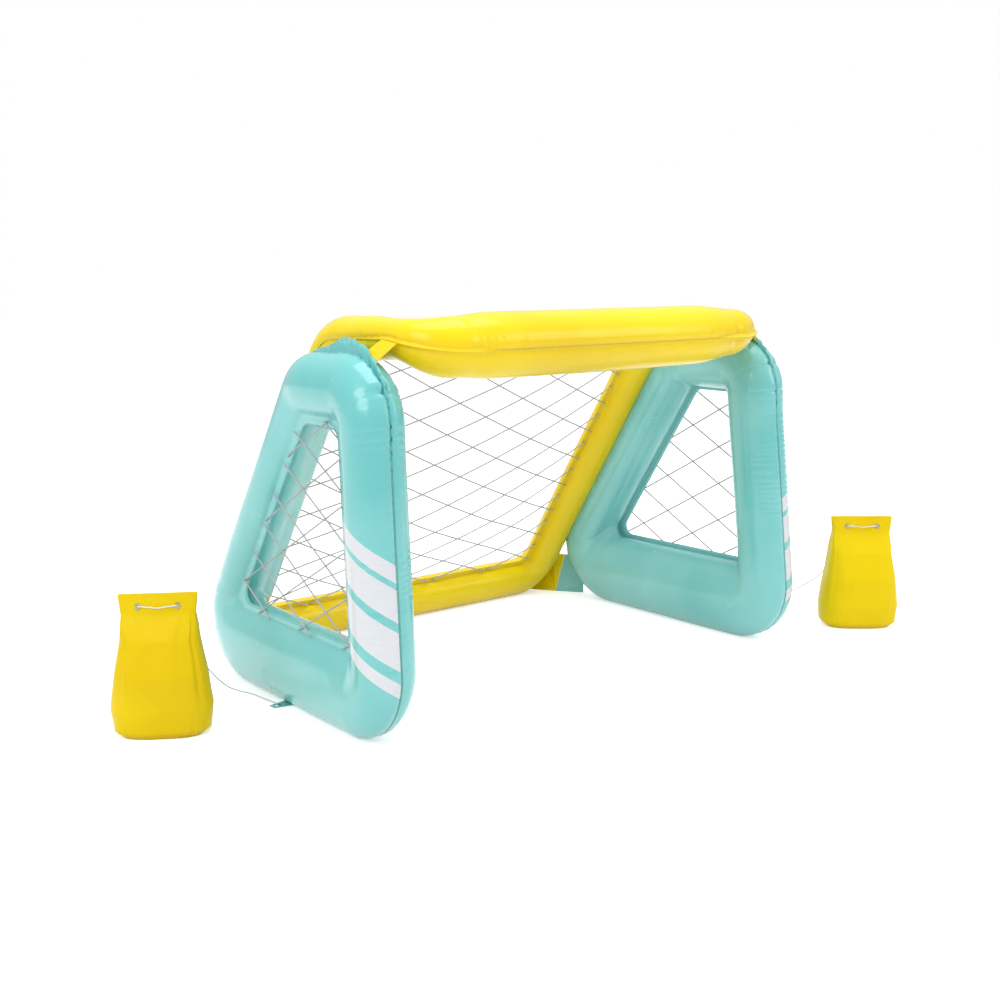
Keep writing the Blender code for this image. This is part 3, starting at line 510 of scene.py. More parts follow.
def noise_node(tree, coordinates, scale, detail=3.0, roughness=0.5):
    node = tree.nodes.new("ShaderNodeTexNoise")
    node.inputs["Scale"].default_value = scale
    node.inputs["Detail"].default_value = detail
    node.inputs["Roughness"].default_value = roughness
    tree.links.new(coordinates, node.inputs["Vector"])
    return node.outputs["Fac"]


def ranged(tree, value, low, high, to_low=0.0, to_high=1.0):
    node = tree.nodes.new("ShaderNodeMapRange")
    node.inputs["From Min"].default_value = low
    node.inputs["From Max"].default_value = high
    node.inputs["To Min"].default_value = to_low
    node.inputs["To Max"].default_value = to_high
    tree.links.new(value, node.inputs["Value"])
    return node.outputs["Result"]


def math_node(tree, operation, first, second):
    node = tree.nodes.new("ShaderNodeMath")
    node.operation = operation
    for socket, value in zip(node.inputs, (first, second)):
        if isinstance(value, (int, float)):
            socket.default_value = value
        else:
            tree.links.new(value, socket)
    return node.outputs[0]


def mixed(tree, factor, first, second):
    node = tree.nodes.new("ShaderNodeMix")
    node.data_type = "RGBA"
    tree.links.new(factor, node.inputs[0])
    for socket, value in ((node.inputs[6], first), (node.inputs[7], second)):
        if isinstance(value, tuple):
            socket.default_value = value + (1.0,)
        else:
            tree.links.new(value, socket)
    return node.outputs[2]


def bumped(tree, height, strength, distance, normal=None):
    node = tree.nodes.new("ShaderNodeBump")
    node.inputs["Strength"].default_value = strength
    node.inputs["Distance"].default_value = distance
    tree.links.new(height, node.inputs["Height"])
    if normal is not None:
        tree.links.new(normal, node.inputs["Normal"])
    return node.outputs["Normal"]


def striped(tree, place, base, rough):
    """Adds a front leg's slanted white stripes, and a dark line along the weld seam, partly the weld's
    own colour and partly painted shade in its groove.
    """
    sheet = tree.nodes.new("ShaderNodeSeparateXYZ")
    tree.links.new(tree.nodes.new("ShaderNodeUVMap").outputs["UV"], sheet.inputs[0])
    across = sheet.outputs["Y"]
    spot = tree.nodes.new("ShaderNodeSeparateXYZ")
    tree.links.new(place, spot.inputs[0])
    climb = math_node(tree, "MULTIPLY", across, STRIPE_CLIMB)
    level = math_node(tree, "SUBTRACT", spot.outputs["Z"], climb)
    mask = None
    for low, high in STRIPES:
        above = ranged(tree, level, low - STRIPE_EDGE, low + STRIPE_EDGE)
        below = ranged(tree, level, high - STRIPE_EDGE, high + STRIPE_EDGE, 1.0, 0.0)
        band = math_node(tree, "MULTIPLY", above, below)
        mask = band if mask is None else math_node(tree, "MAXIMUM", mask, band)
    outer = ranged(tree, across, *STRIPE_FROM_SEAM)
    front = ranged(tree, spot.outputs["Y"], *STRIPE_BACK, 1.0, 0.0)
    mask = math_node(tree, "MULTIPLY", mask, math_node(tree, "MULTIPLY", outer, front))
    base = mixed(tree, mask, base, STRIPE)
    rough = math_node(tree, "ADD", rough, math_node(tree, "MULTIPLY", mask, STRIPE_DULLER))
    # The dark line along the seam: partly the weld's colour, partly painted shade in the seam's groove.
    beside = math_node(tree, "ABSOLUTE", across, 0.0)
    seam = ranged(tree, beside, *SEAM_AND_GROOVE_SHADE_LINE, SEAM_AND_GROOVE_SHADE_DARKNESS, 0.0)
    return mixed(tree, seam, base, TEAL_SEAM_AND_GROOVE_SHADE), rough


def vinyl(name, colour, deep, gloss=(0.16, 0.28), creases=0.5, coat=0.3, specular=0.5,
          stripes=False):
    """Soft glossy plastic sheet: uneven tone, faint crinkles and a light sheen of gloss."""
    material = bpy.data.materials.new(name)
    tree, nodes, links = nodes_of(material)
    shader = nodes["Principled BSDF"]
    place = nodes.new("ShaderNodeTexCoord").outputs["Object"]
    base = mixed(tree, ranged(tree, noise_node(tree, place, scale=3.2), 0.35, 0.68), deep, colour)
    smears = noise_node(tree, place, scale=14.0, detail=4.0, roughness=0.6)
    rough = ranged(tree, smears, 0.3, 0.7, gloss[0], gloss[1])
    if stripes:
        base, rough = striped(tree, place, base, rough)
    links.new(base, shader.inputs["Base Color"])
    links.new(rough, shader.inputs["Roughness"])
    crinkles = noise_node(tree, place, scale=38.0, detail=5.0, roughness=0.62)
    crinkled = bumped(tree, crinkles, strength=creases, distance=0.0016)
    grain = noise_node(tree, place, scale=420.0, detail=2.0)
    grained = bumped(tree, grain, strength=0.10, distance=0.0002, normal=crinkled)
    links.new(grained, shader.inputs["Normal"])
    shader.inputs["Coat Weight"].default_value = coat
    shader.inputs["Coat Roughness"].default_value = 0.08
    shader.inputs["Specular IOR Level"].default_value = specular
    return material


def cord_finish(name, colour, scale):
    """Twisted cord: slanted strands, dull."""
    material = bpy.data.materials.new(name)
    tree, nodes, links = nodes_of(material)
    shader = nodes["Principled BSDF"]
    place = nodes.new("ShaderNodeTexCoord").outputs["Object"]
    strands = nodes.new("ShaderNodeTexWave")
    strands.bands_direction = "DIAGONAL"
    strands.inputs["Scale"].default_value = scale
    strands.inputs["Distortion"].default_value = 1.5
    links.new(place, strands.inputs["Vector"])
    wave = strands.outputs["Fac"]
    darker = tuple(0.86 * value for value in colour)
    links.new(mixed(tree, wave, darker, colour), shader.inputs["Base Color"])
    links.new(bumped(tree, wave, strength=0.5, distance=0.0005), shader.inputs["Normal"])
    rough = ranged(tree, noise_node(tree, place, scale=60.0), 0.3, 0.7, 0.62, 0.8)
    links.new(rough, shader.inputs["Roughness"])
    return material


def plain_finish(name, colour, rough, metallic=0.0):
    """Small hard parts: a colour with fine wear in tone and gloss."""
    material = bpy.data.materials.new(name)
    tree, nodes, links = nodes_of(material)
    shader = nodes["Principled BSDF"]
    place = nodes.new("ShaderNodeTexCoord").outputs["Object"]
    wear = noise_node(tree, place, scale=90.0, detail=4.0)
    darker = tuple(0.82 * value for value in colour)
    base = mixed(tree, ranged(tree, wear, 0.35, 0.65), darker, colour)
    links.new(base, shader.inputs["Base Color"])
    links.new(ranged(tree, wear, 0.3, 0.7, rough - 0.06, rough + 0.08), shader.inputs["Roughness"])
    links.new(bumped(tree, wear, strength=0.12, distance=0.0003), shader.inputs["Normal"])
    shader.inputs["Metallic"].default_value = metallic
    return material


# Camera
camera_data = bpy.data.cameras.new("camera")
camera_data.lens = CAMERA_LENS
camera_data.sensor_width = CAMERA_SENSOR
camera_data.sensor_fit = "HORIZONTAL"
camera = bpy.data.objects.new("camera", camera_data)
camera.location = CAMERA_PLACE
camera.rotation_euler = (math.radians(90.0 - CAMERA_DOWN), 0.0, math.radians(CAMERA_AZIMUTH))
scene.collection.objects.link(camera)
scene.camera = camera

# Finishes
teal = vinyl("teal_vinyl", TEAL, TEAL_DEEP)
teal_striped = vinyl("teal_striped_vinyl", TEAL, TEAL_DEEP, stripes=True)
yellow = vinyl("yellow_vinyl", YELLOW, YELLOW_DEEP, coat=0.10, specular=0.25)
bag_vinyl = vinyl("bag_vinyl", BAG_YELLOW, BAG_DEEP, gloss=(0.36, 0.48), creases=0.8, coat=0.0,
                  specular=0.15)
# The net cords' grey is painted shade on white cord.
net_cord = cord_finish("net_cord", NET_WHITE_IN_PAINTED_SHADE, scale=160.0)
white_cord = cord_finish("white_cord", CORD_WHITE, scale=220.0)
metal = plain_finish("eyelet_metal", EYELET_GREY, rough=0.30, metallic=1.0)
clear_plastic = plain_finish("valve_plastic", VALVE_WHITE, rough=0.22)


def curve_piece(name, lines, diameter, finish, sides=3):
    """A curve of round cords, one spline for each line of points."""
    curve = bpy.data.curves.new(name, "CURVE")
    curve.dimensions = "3D"
    curve.bevel_depth = diameter / 2.0
    curve.bevel_resolution = sides
    curve.use_fill_caps = True
    for line in lines:
        spline = curve.splines.new("POLY")
        spline.points.add(len(line) - 1)
        for target, point in zip(spline.points, line):
            target.co = (point[0], point[1], point[2], 1.0)
    curve.materials.append(finish)
    piece = bpy.data.objects.new(name, curve)
    scene.collection.objects.link(piece)
    return piece


def bag_outline(height):
    """Half width, half depth and squareness of the bag at a height."""
    for low, high in zip(BAG_LOFT, BAG_LOFT[1:]):
        if height <= high[0]:
            t = (height - low[0]) / (high[0] - low[0])
            return tuple(x + (y - x) * t for x, y in zip(low[1:], high[1:]))
    return BAG_LOFT[-1][1:]


def bag_matrix(spot):
    x, setback, turn = spot
    stand = Matrix.Translation((x, FRONT_FOOT + setback, 0.0))
    return stand @ Matrix.Rotation(math.radians(turn), 4, "Z")


def face_matrix(base, x, front):
    """A matrix on the bag's front or back face at eyelet height, with Z out of the face."""
    depth = bag_outline(BAG_EYELET_HEIGHT)[1]
    low, high = BAG_LOFT[-2], BAG_LOFT[-1]
    tilt = math.atan2(low[2] - high[2], high[0] - low[0])
    out = Vector((0.0, -math.cos(tilt), math.sin(tilt)))
    down = Vector((0.0, -math.sin(tilt), -math.cos(tilt)))
    turn = Matrix((down.cross(out), down, out)).transposed().to_4x4()
    local = Matrix.Translation((x, -depth, BAG_EYELET_HEIGHT)) @ turn
    if not front:
        local = Matrix.Rotation(math.pi, 4, "Z") @ local
    return base @ local


def out_of_eyelet(matrix, way, diameter):
    """A cord's first points: up out of an eyelet's hole and over its edge, along a flat way."""
    low = diameter / 2.0 + CLEARANCE
    high = low + EYELET_SEAT + EYELET_HEIGHT
    hops = ((0.0, low), (EYELET_EDGE, high), (EYELET_RADIUS, high))
    return [matrix @ Vector((way[0] * r, way[1] * r, h)) for r, h in hops]


def line_length(points):
    return sum((b - a).length for a, b in zip(points, points[1:]))


def smooth_route(points, spacing, passes):
    """Evenly spaced points along a route, with its bends eased."""
    total = line_length(points)
    count = round(total / spacing)
    even, walked, index = [points[0].copy()], 0.0, 0
    for k in range(1, count):
        target = total * k / count
        while walked + (points[index + 1] - points[index]).length < target:
            walked += (points[index + 1] - points[index]).length
            index += 1
        share = (target - walked) / (points[index + 1] - points[index]).length
        even.append(points[index].lerp(points[index + 1], share))
    even.append(points[-1].copy())
    for _ in range(passes):
        eased = [even[0]]
        for before, here, after in zip(even, even[1:], even[2:]):
            eased.append(here * 0.5 + (before + after) * 0.25)
        even = eased + [even[-1]]
    return even


def make_cords(label, side, spot, route):
    """The drawcord across a bag's mouth, and the tether from its back to the anchor."""
    body = label + "_ballast"
    base = bag_matrix(spot)
    left = face_matrix(base, -BAG_EYELET_SPACING / 2.0, True)
    right = face_matrix(base, BAG_EYELET_SPACING / 2.0, True)
    back = face_matrix(base, 0.0, False)
    hang = Vector((0.0, DRAWCORD_SAG, DRAWCORD_OUT))
    middle = (left @ hang).lerp(right @ hang, 0.5)
    drawn = out_of_eyelet(left, (-1.0, 0.0), DRAWCORD) + [middle]
    drawn += out_of_eyelet(right, (1.0, 0.0), DRAWCORD)[::-1]
    anchor = Matrix.Translation((side * ANCHOR_X, FRONT_FOOT + ANCHOR_SETBACK, TAB_THICKNESS))
    way = Vector((route[-1][0] - side * ANCHOR_X, route[-1][1] - ANCHOR_SETBACK)).normalized()
    landing = out_of_eyelet(anchor, way, TETHER)
    landing.append(anchor @ Vector((way.x * LANDING_REACH, way.y * LANDING_REACH, LANDING_HEIGHT)))
    leaving = out_of_eyelet(back, (0.0, 1.0), TETHER)
    stops = [leaving[-1]] + [Vector((x, FRONT_FOOT + y, z)) for x, y, z in route] + [landing[-1]]
    led = leaving[:-1] + smooth_route(stops, TETHER_SPACING, TETHER_EASING) + landing[-2::-1]
    for kind, points, diameter in (("drawcord", drawn, DRAWCORD), ("tether", led, TETHER)):
        piece = curve_piece(label + "_" + kind + "_line", [points], diameter, white_cord)
        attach(piece, body)
        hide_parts(label + "_" + kind)
        tuple(points[0])
        line_length(points)


make_cords("left", -1.0, LEFT_BAG, LEFT_ROUTE)
make_cords("right", 1.0, RIGHT_BAG, RIGHT_ROUTE)


def frame_middle(y, z):
    """How far out a side frame's middle plane is at a place: it leans and toes in."""
    return FRAME_SPREAD / 2.0 - LEAN_IN_PER_HEIGHT * z - TOE_IN_PER_DEPTH * (y - FRONT_FOOT)


def frame_relief(skin, seed):
    """How far a side frame's skin stands out at each point, in metres."""
    u, v, gap = skin.u, skin.v, np.abs(skin.v)
    window = skin.window - gap
    seam_y, seam_z = skin.points[:, SEAM, 1][:, None], skin.points[:, SEAM, 2][:, None]
    near_seam = np.exp(-gap / 0.045)
    foot_front, top_front, top_rear, foot_rear = (skin.near_arc(i, 0.05) for i in range(4))

    # Fine creases along the weld seam, none where it lies on the floor
    relief = -skin.creases(0.0010, pitch=0.017, seed=seed, fade=bell(gap, 0.0, 0.016))
    relief = relief * ease(seam_z, 0.03, 0.12)

    # A swollen front top corner, and deeper creases at each corner
    relief = relief + 0.0060 * top_front * near_seam
    relief = relief - skin.creases(0.0042 * top_front + 0.0018 * top_rear, pitch=0.021,
                                   seed=seed + 10, fade=np.exp(-gap / 0.030))
    relief = relief - skin.creases(0.0024 * foot_front, pitch=0.019, seed=seed + 20,
                                   fade=np.exp(-gap / 0.035))
    relief = relief - skin.creases(0.0014 * foot_rear, pitch=0.018, seed=seed + 30,
                                   fade=bell(gap, 0.060, 0.05), width=0.24, fan=0.5)
    corners = top_front + top_rear + foot_rear + foot_front
    relief = relief - skin.creases(0.0016 * corners, pitch=0.016, seed=seed + 40,
                                   fade=np.exp(-np.abs(window) / 0.022), width=0.22, fan=0.6)

    # Patches of fine ripples on the front leg, and a slow unevenness all over
    ripple = np.sin(2.0 * math.pi * (u / 0.0135 + 0.7 * wander(u, 0.05, seed + 50)))
    patch = ease(wander2(u, v, 0.11, 0.09, seed + 51), 0.0, 0.7) * bell(gap, 0.050, 0.035)
    relief = relief + 0.00075 * ripple * patch * (seam_y < FRONT_FOOT + 0.12)
    relief = relief + 0.0012 * wander2(u, v, 0.16, 0.11, seed + 52)

    # One sharp fold below the front top corner, with a low ridge beside it
    fold_row = np.flatnonzero(skin.arc >= 1.0)[round(0.30 * ARC_STEPS)]
    drift = u - u[fold_row] - 0.10 * gap
    relief = relief - 0.0060 * bell(drift, 0.0, 0.0045) * near_seam
    relief = relief + 0.0022 * bell(drift, 0.011, 0.007) * near_seam

    # The rear leg bulges on its inner side
    leg = ((skin.side >= 2.0) & (skin.side < 3.0)) + ease(skin.arc, 2.0, 3.0) * (skin.arc < 3.0)
    leg = leg + (1.0 - ease(skin.arc, 3.0, 4.0)) * (skin.arc >= 3.0)
    bulge = 0.0200 * leg[:, None] * (v < 0.0) * ease(gap, 0.015, 0.060) * ease(window, 0.0, 0.03)
    return relief + bulge


def pleat_flange(skin, seed):
    """Gathers the flange that stands on the front top corner, and lowers it elsewhere."""
    u = skin.u[:, 0]
    phase = u / PLEAT_PITCH + 0.6 * wander(u, 0.06, seed)
    gather = skin.near_arc(1, 0.10)[:, 0]
    full = gather * (1.0 - PLEAT_NOTCH * np.abs(np.sin(math.pi * phase)))
    height = FLANGE_AT_REST + (1.0 - FLANGE_AT_REST) * full
    skin.wave_flange(height, PLEAT_SWING * gather * np.sin(2.0 * math.pi * phase))


def make_frame(label, side):
    """One side frame's skin, wrinkled at its corners and along its seams."""
    tubes = [
        FRONT_LEG + (LEG_FLANGE, 0.0),
        TOP_TUBE + (TOP_FLANGE, 0.0),
        REAR_LEG + (LEG_FLANGE, 0.0),
        FOOT_TUBE + (0.0, 1.0),
    ]

    def place(flats, heights):
        y, z = flats[:, 0], flats[:, 1]
        return np.stack([side * (frame_middle(y, z) + heights), y, np.maximum(z, 0.0)], axis=1)

    skin = Chamber(np.array(FRAME_CORNERS), tubes, FRAME_CORNER_RADIUS, FRAME_COUNTS, place,
                   WINDOW_SEAM_OFFSET, WINDOW_FLANGE)
    seed = FRAME_SEEDS[label]
    skin.push(frame_relief(skin, seed))
    pleat_flange(skin, seed + 60)
    piece = skin.mesh(label + "_frame_skin", teal_striped)
    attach(piece, "goal")
    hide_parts(label + "_frame_outer_sheet", label + "_frame_inner_sheet")


make_frame("left", -1.0)
make_frame("right", 1.0)


def rotated(vector, angle):
    c, s = math.cos(angle), math.sin(angle)
    return np.array((c * vector[0] - s * vector[1], s * vector[0] + c * vector[1]))


class Profile:
    """The line that the ring's middle surface follows, in (y, z), from the rear floor forward."""

    def __init__(self, corners, radii):
        self.parts = []
        place = corners[0]
        for i in range(1, len(corners) - 1):
            back, ahead = unit(corners[i - 1] - corners[i]), unit(corners[i + 1] - corners[i])
            half = math.acos(back @ ahead) / 2.0
            reach = radii[i - 1] / math.tan(half)
            centre = corners[i] + unit(back + ahead) * (radii[i - 1] / math.sin(half))
            start, end = corners[i] + back * reach, corners[i] + ahead * reach
            self.parts.append((np.linalg.norm(start - place), place, start, None))
            self.parts.append((radii[i - 1] * (math.pi - 2.0 * half), start, end, centre))
            place = end
        self.parts.append((np.linalg.norm(corners[-1] - place), place, corners[-1], None))

    def at(self, distance):
        """Point and outward normal at a distance from the rear end, straight on past both ends."""
        run, index = distance, 0
        while run > self.parts[index][0] and index < len(self.parts) - 1:
            run -= self.parts[index][0]
            index += 1
        _, start, end, centre = self.parts[index]
        if centre is None:
            along = unit(end - start)
            return start + along * run, np.array((along[1], -along[0]))
        arm = rotated(start - centre, run / np.linalg.norm(start - centre))
        return centre + arm, unit(arm)


RING_FOOT = np.array((REAR_FOOT, 0.0))
RING_BEND = RING_FOOT + (-RING_BEND_SETBACK, RING_BEND_HEIGHT)
RING_BROW = RING_BEND + (-RING_TOP_RUN, RING_TOP_RISE)
RING_NOSE = RING_BROW + (-RING_NOSE_RUN, -RING_NOSE_RUN * RING_NOSE_SLOPE)
ring_profile = Profile([RING_FOOT, RING_BEND, RING_BROW, RING_NOSE],
                       [RING_BEND_RADIUS, RING_NOSE_RADIUS])
RING_UP_SHARE = RING_BEND_HEIGHT / math.hypot(RING_BEND_SETBACK, RING_BEND_HEIGHT)
RING_LOW = RING_REAR_HEIGHT / RING_UP_SHARE - RING_REAR_TUBE


def on_ring(x, distance, height):
    """A point at a height over the ring's bent middle surface."""
    spot, normal = ring_profile.at(distance)
    return x, spot[0] + normal[0] * height, spot[1] + normal[1] * height


def crossbar_swell(flats, heights):
    """Fattens the crossbar toward its middle, and bulges its left end down beside the frame."""
    x, distance = flats[:, 0], flats[:, 1]
    share = np.clip((distance - CROSSBAR_DISTANCE + 2.0 * CROSSBAR_TUBE) / CROSSBAR_TUBE, 0.0, 1.0)
    across = np.maximum(0.0, 1.0 - (x / (RING_HALF_WIDTH - 0.5 * CROSSBAR_TUBE)) ** 4)
    growth = CROSSBAR_SWELL * across * share
    lobe = LOBE * bell(x, LOBE_X, LOBE_WIDTH) * bell(distance, CROSSBAR_DISTANCE, LOBE_LENGTH)
    grown = flats.copy()
    grown[:, 1] += (distance - CROSSBAR_DISTANCE) * growth
    fuller = np.where(heights < 0.0, SWELL_BELOW * growth + lobe, SWELL_ABOVE * growth)
    return grown, heights * (1.0 + fuller)


def ring_place(flats, heights):
    spots = np.array([on_ring(x, distance, height) for (x, distance), height in zip(flats, heights)])
    spots[:, 2] = np.maximum(spots[:, 2], 0.0)
    return spots


def ring_relief(skin):
    """How far the ring's skin stands out at each point, in metres."""
    u, v, gap = skin.u, skin.v, np.abs(skin.v)
    window = skin.window - gap
    rear_left, front_left, front_right, rear_right = (skin.near_arc(i, 0.07) for i in range(4))
    bar_ends = np.minimum(skin.near_arc(1, 0.16) + skin.near_arc(2, 0.16), 1.0)

    # Fine creases along the weld seam, and gathers at the crossbar's ends
    relief = -skin.creases(0.0010, pitch=0.020, seed=RING_SEED, fade=bell(gap, 0.0, 0.018))
    relief = relief - skin.creases(0.0050 * bar_ends, pitch=0.022, seed=RING_SEED + 10,
                                   fade=np.exp(-gap / 0.034), width=0.22, fan=0.25)

    # Creases inside the corners, and a slow unevenness all over
    relief = relief - skin.creases(0.0016 * (rear_left + rear_right), pitch=0.015,
                                   seed=RING_SEED + 20, fade=bell(window, 0.030, 0.026),
                                   width=0.24, fan=0.4)
    relief = relief - skin.creases(0.0014 * (front_left + front_right), pitch=0.016,
                                   seed=RING_SEED + 30, fade=np.exp(-np.abs(window) / 0.03),
                                   width=0.24, fan=0.4)
    relief = relief + 0.0010 * wander2(u, v, 0.17, 0.10, RING_SEED + 40)

    # The front corners are drawn in, the right one more
    return relief - 0.0060 * skin.near_arc(1, 0.05) - 0.0100 * front_right


def make_ring():
    high = CROSSBAR_DISTANCE + CROSSBAR_TUBE
    outline = np.array([
        (-RING_HALF_WIDTH, RING_LOW),
        (-RING_HALF_WIDTH, high),
        (RING_HALF_WIDTH, high),
        (RING_HALF_WIDTH, RING_LOW),
    ])
    radii = (RING_SIDE_TUBE, CROSSBAR_TUBE, RING_SIDE_TUBE, RING_REAR_TUBE)
    tubes = [(radius, radius, RING_OUTER_FLANGE, 0.0) for radius in radii]
    skin = Chamber(outline, tubes, RING_CORNER_RADIUS, RING_COUNTS, ring_place, 0.0,
                   RING_INNER_FLANGE, crossbar_swell)
    skin.push(ring_relief(skin))
    piece = skin.mesh("ring_skin", yellow)
    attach(piece, "goal")
    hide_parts("ring_back_sheet", "ring_front_sheet")


make_ring()


def clip_line(polygon, point, direction):
    """The ends of a line inside a convex polygon, or None where it misses."""
    low, high = -math.inf, math.inf
    middle = polygon.mean(axis=0)
    for i, start in enumerate(polygon):
        along = unit(polygon[(i + 1) % len(polygon)] - start)
        normal = np.array((-along[1], along[0]))
        if normal @ (middle - start) < 0.0:
            normal = -normal
        slope = normal @ direction
        t = -(normal @ (point - start)) / slope
        if slope > 0.0:
            low = max(low, t)
        else:
            high = min(high, t)
    if high - low < SHORTEST_CORD:
        return None
    return point + direction * low, point + direction * high


def net_lines(polygon, pitch, slope, middle, phases):
    """The cords of a diamond net, each as (family, start, end)."""
    lines = []
    for sign, phase in zip((1.0, -1.0), phases):
        direction = unit(np.array((1.0, sign * slope)))
        for k in range(-NET_CORDS_EACH_WAY, NET_CORDS_EACH_WAY + 1):
            ends = clip_line(polygon, np.array((middle, k * pitch + phase)), direction)
            if ends is not None:
                lines.append((sign,) + ends)
    return lines


def net_cords(lines, place):
    """Cords woven over and under each other, as lists of points."""
    cords = []
    for sign, start, end in lines:
        count = max(3, round(np.linalg.norm(end - start) / NET_POINT_SPACING))
        spots = [start + (end - start) * t for t in np.linspace(0.0, 1.0, count + 1)]
        cords.append([place(spot[0], spot[1], sign * NET_WEAVE) for spot in spots])
    return cords


def make_window_net(label, side, phases):
    """The net laced into a side frame's window."""
    insets = []
    for a, b in (FRONT_LEG, TOP_TUBE, REAR_LEG, FOOT_TUBE):
        root = a * (1.0 + math.sqrt(1.0 - (WINDOW_SEAM_OFFSET / b) ** 2))
        insets.append(root + WINDOW_FLANGE - WINDOW_NET_OVERLAP)
    window = offset_corners(np.array(FRAME_CORNERS), insets)
    spot = FRONT_FOOT + WINDOW_NET_SPOT
    lines = net_lines(window, WINDOW_NET_PITCH, WINDOW_NET_SLOPE, spot, phases)
    seam = WINDOW_SEAM_OFFSET + SHEET + NET_CORD

    def place(y, z, height):
        return side * (frame_middle(y, z) + seam + height), y, z

    piece = curve_piece(label + "_window_cords", net_cords(lines, place), NET_CORD, net_cord, 2)
    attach(piece, "goal")
    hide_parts(label + "_window_net")


make_window_net("left", -1.0, LEFT_NET_PHASES)
make_window_net("right", 1.0, RIGHT_NET_PHASES)


def make_rear_net():
    """The net inside the ring, which sags between its bend and the crossbar."""
    keep = RING_INNER_FLANGE - REAR_NET_OVERLAP
    wide = RING_HALF_WIDTH - 2.0 * RING_SIDE_TUBE - keep
    bottom = RING_LOW + 2.0 * RING_REAR_TUBE + keep
    top = CROSSBAR_DISTANCE - CROSSBAR_TUBE * (1.0 + CROSSBAR_SWELL) - keep
    cut = REAR_NET_CHAMFER
    window = np.array([
        (-wide, bottom + cut), (-wide, top - cut), (cut - wide, top), (wide - cut, top),
        (wide, top - cut), (wide, bottom + cut), (wide - cut, bottom), (cut - wide, bottom),
    ])
    lines = net_lines(window, REAR_NET_PITCH, REAR_NET_SLOPE, 0.0, REAR_NET_PHASES)
    seam = -(SHEET + NET_CORD)

    def place(x, distance, height):
        across = max(0.0, 1.0 - (x / (wide - REAR_NET_OVERLAP)) ** 2)
        share = (distance - bottom - REAR_NET_OVERLAP) / (top - bottom - 2.0 * REAR_NET_OVERLAP)
        along = min(1.0, max(0.0, SAG_FULLNESS * share * (1.0 - share)))
        return on_ring(x, distance, seam + height - REAR_NET_SAG * across * along)

    piece = curve_piece("rear_net_cords", net_cords(lines, place), NET_CORD, net_cord, 2)
    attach(piece, "goal")
    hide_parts("rear_net")


make_rear_net()


def bag_rows(seed):
    """Rows of points up a bag: its loft, with upright folds, a soft belly and low creases."""
    loft = np.array(BAG_LOFT)
    around = (np.arange(BAG_POINTS_AROUND) + 0.5) * 2.0 * math.pi / BAG_POINTS_AROUND
    c, s = np.cos(around), np.sin(around)
    rows = []
    for z in BAG_HEIGHTS:
        wide, deep, square = (np.interp(z, loft[:, 0], loft[:, k]) for k in (1, 2, 3))
        power = 2.0 / square
        x = np.sign(c) * np.abs(c) ** power * wide
        y = np.sign(s) * np.abs(s) ** power * deep
        rows.append(np.stack([x, y, np.full_like(x, z)], axis=1))
    grid = np.array(rows)
    z = grid[:, :, 2]
    along = np.broadcast_to(around[None, :], z.shape) * BAG_MEAN_RADIUS
    fold = wander2(along, z, 0.016, 0.13, seed) * ease(z, 0.02, 0.08) * (1.0 - ease(z, 0.22, 0.262))
    belly = wander2(along, z, 0.05, 0.07, seed + 1)
    low = valleys(along, z, pitch=0.019, seed=seed + 2, width=0.2, fan=0.3) * bell(z, 0.012, 0.022)
    amount = 0.0026 * fold + 0.0022 * belly * ease(z, 0.0, 0.03)
    amount = amount - 0.0035 * low * ease(z, 0.0, 0.004)
    calm_mouth = 1.0 - 0.85 * ease(z, 0.245, 0.262)
    out = grid.copy()
    out[:, :, 2] = 0.0
    out /= np.linalg.norm(out, axis=2, keepdims=True) + 1e-9
    return grid + out * (amount * calm_mouth)[:, :, None]


def bag_rim(lip):
    """Rows that roll the mouth's edge over and lead down inside it."""
    rim = []
    for inset, rise in BAG_RIM:
        row = lip.copy()
        row[:, :2] *= 1.0 - inset / np.linalg.norm(row[:, :2], axis=1, keepdims=True)
        row[:, 1] *= 1.0 - min(RIM_CLOSED, inset * RIM_CLOSING)
        row[:, 2] += rise
        rim.append(row)
    return np.array(rim)


def make_bag(label, spot):
    """A water bag: swollen below, folded above, with an open mouth."""
    rows = bag_rows(BAG_SEEDS[label])
    grid = np.concatenate([rows, bag_rim(rows[-1])])
    count, width = grid.shape[:2]
    base = bag_matrix(spot)
    points = [base @ Vector(point) for point in grid.reshape(-1, 3)]
    index = np.arange(count * width).reshape(count, width)
    right = np.roll(index, -1, axis=1)
    quads = np.stack([index[:-1], right[:-1], right[1:], index[1:]], axis=2).reshape(-1, 4).tolist()
    faces = quads + [index[0].tolist()[::-1], index[-1].tolist()]
    data = bpy.data.meshes.new(label + "_bag_skin")
    data.from_pydata([tuple(point) for point in points], [], faces)
    piece = finish_mesh(label + "_bag_skin", data, bag_vinyl)
    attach(piece, label + "_ballast")
    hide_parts(label + "_bag")


make_bag("left", LEFT_BAG)
make_bag("right", RIGHT_BAG)


def finish_for(name):
    """The finish of a node that keeps its solid, or None where a drawn piece replaces it."""
    if "eyelet" in name:
        return metal
    if "plug" in name or "stem" in name:
        return clear_plastic
    if "valve" in name:
        return yellow if "ring" in name else teal
    if name.endswith(("front_tab", "rear_tab")):
        return yellow
    if name.endswith(("rear_flap", "anchor_tab")):
        return teal
    return None


for name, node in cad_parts.items():
    finish = finish_for(name)
    if finish is not None:
        node.data.materials.clear()
        node.data.materials.append(finish)

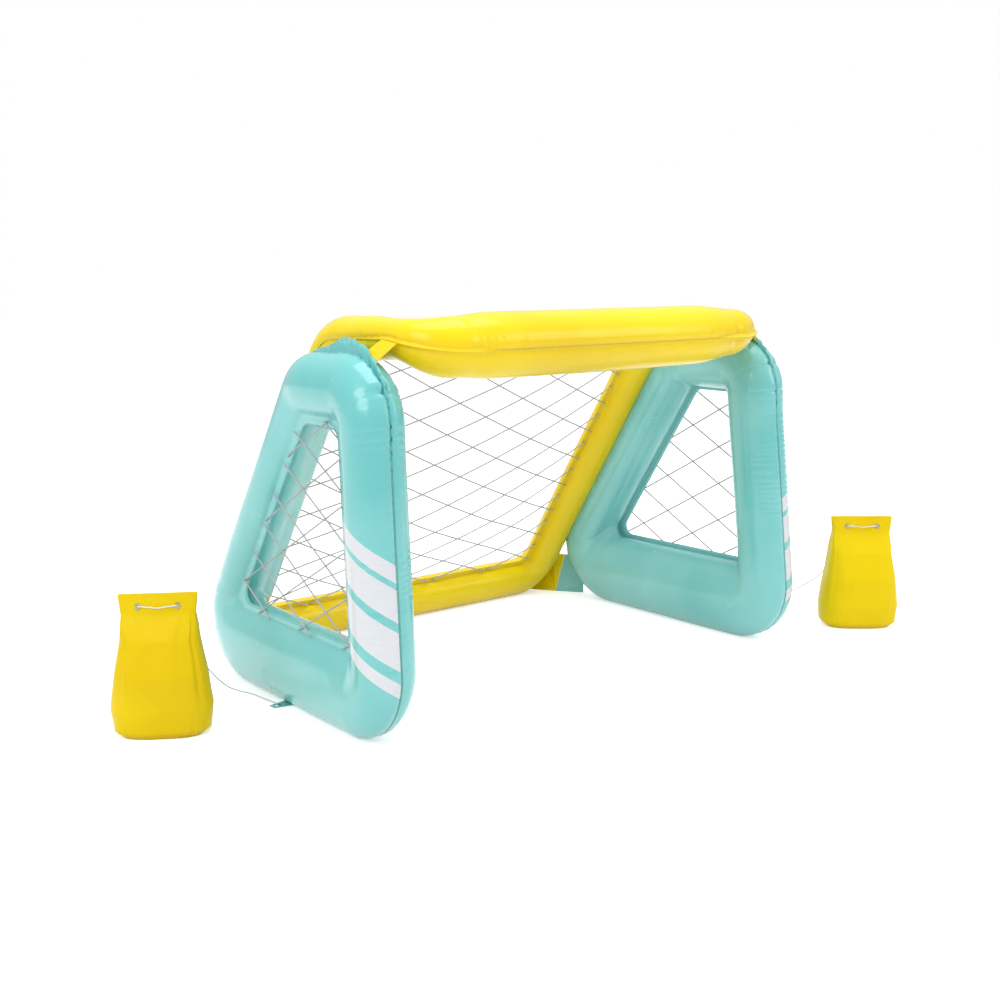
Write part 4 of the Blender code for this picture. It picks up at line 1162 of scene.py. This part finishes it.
# Floor
floor_data = bpy.data.meshes.new("floor")
floor_corners = [(x * FLOOR_REACH, y * FLOOR_REACH, 0) for x, y in ((-1, -1), (1, -1), (1, 1), (-1, 1))]
floor_data.from_pydata(floor_corners, [], [(0, 1, 2, 3)])
floor_finish = bpy.data.materials.new("floor_white")
tree, nodes, links = nodes_of(floor_finish)
shader = nodes["Principled BSDF"]
shader.inputs["Base Color"].default_value = FLOOR_WHITE
shader.inputs["Roughness"].default_value = 0.9
shader.inputs["Specular IOR Level"].default_value = 0.1
shader.inputs["Emission Color"].default_value = PURE_WHITE
rays = nodes.new("ShaderNodeLightPath")
seen = math_node(tree, "MAXIMUM", rays.outputs["Is Camera Ray"], rays.outputs["Is Glossy Ray"])
seen = math_node(tree, "MAXIMUM", seen, rays.outputs["Is Transmission Ray"])
glow = math_node(tree, "MULTIPLY", seen, FLOOR_GLOW)
links.new(glow, shader.inputs["Emission Strength"])
floor_data.materials.append(floor_finish)
floor = bpy.data.objects.new("floor", floor_data)
scene.collection.objects.link(floor)

# Sky: white where it is seen, softer where it lights
world = bpy.data.worlds.new("studio")
scene.world = world
world.use_nodes = True
tree, nodes, links = world.node_tree, world.node_tree.nodes, world.node_tree.links
rays = nodes.new("ShaderNodeLightPath")
seen = math_node(tree, "MAXIMUM", rays.outputs["Is Camera Ray"], rays.outputs["Is Transmission Ray"])
height = nodes.new("ShaderNodeSeparateXYZ")
links.new(nodes.new("ShaderNodeTexCoord").outputs["Generated"], height.inputs[0])
lighting = ranged(tree, height.outputs["Z"], 0.0, 0.8, LOW_SKY, HIGH_SKY)
unseen = math_node(tree, "SUBTRACT", 1.0, seen)
strength = math_node(tree, "ADD", math_node(tree, "MULTIPLY", lighting, unseen), seen)
links.new(strength, nodes["Background"].inputs["Strength"])
nodes["Background"].inputs["Color"].default_value = PURE_WHITE


def area_light(name, place, target, size, power):
    data = bpy.data.lights.new(name, "AREA")
    data.shape = "RECTANGLE"
    data.size, data.size_y = size
    data.energy = power
    lamp = bpy.data.objects.new(name, data)
    lamp.location = place
    way = Vector(target) - Vector(place)
    lamp.rotation_euler = way.to_track_quat("-Z", "Y").to_euler()
    scene.collection.objects.link(lamp)


area_light("key", (-3.2, -1.6, 2.6), target=(0.0, -0.4, 0.3), size=(1.8, 1.8), power=40.0)
area_light("fill", (2.2, -3.4, 2.0), target=(0.0, -0.4, 0.3), size=(1.6, 1.6), power=22.0)
area_light("top", (0.0, -0.6, 3.4), target=(0.0, -0.4, 0.0), size=(2.6, 2.0), power=52.0)

scene.view_settings.view_transform = "Standard"
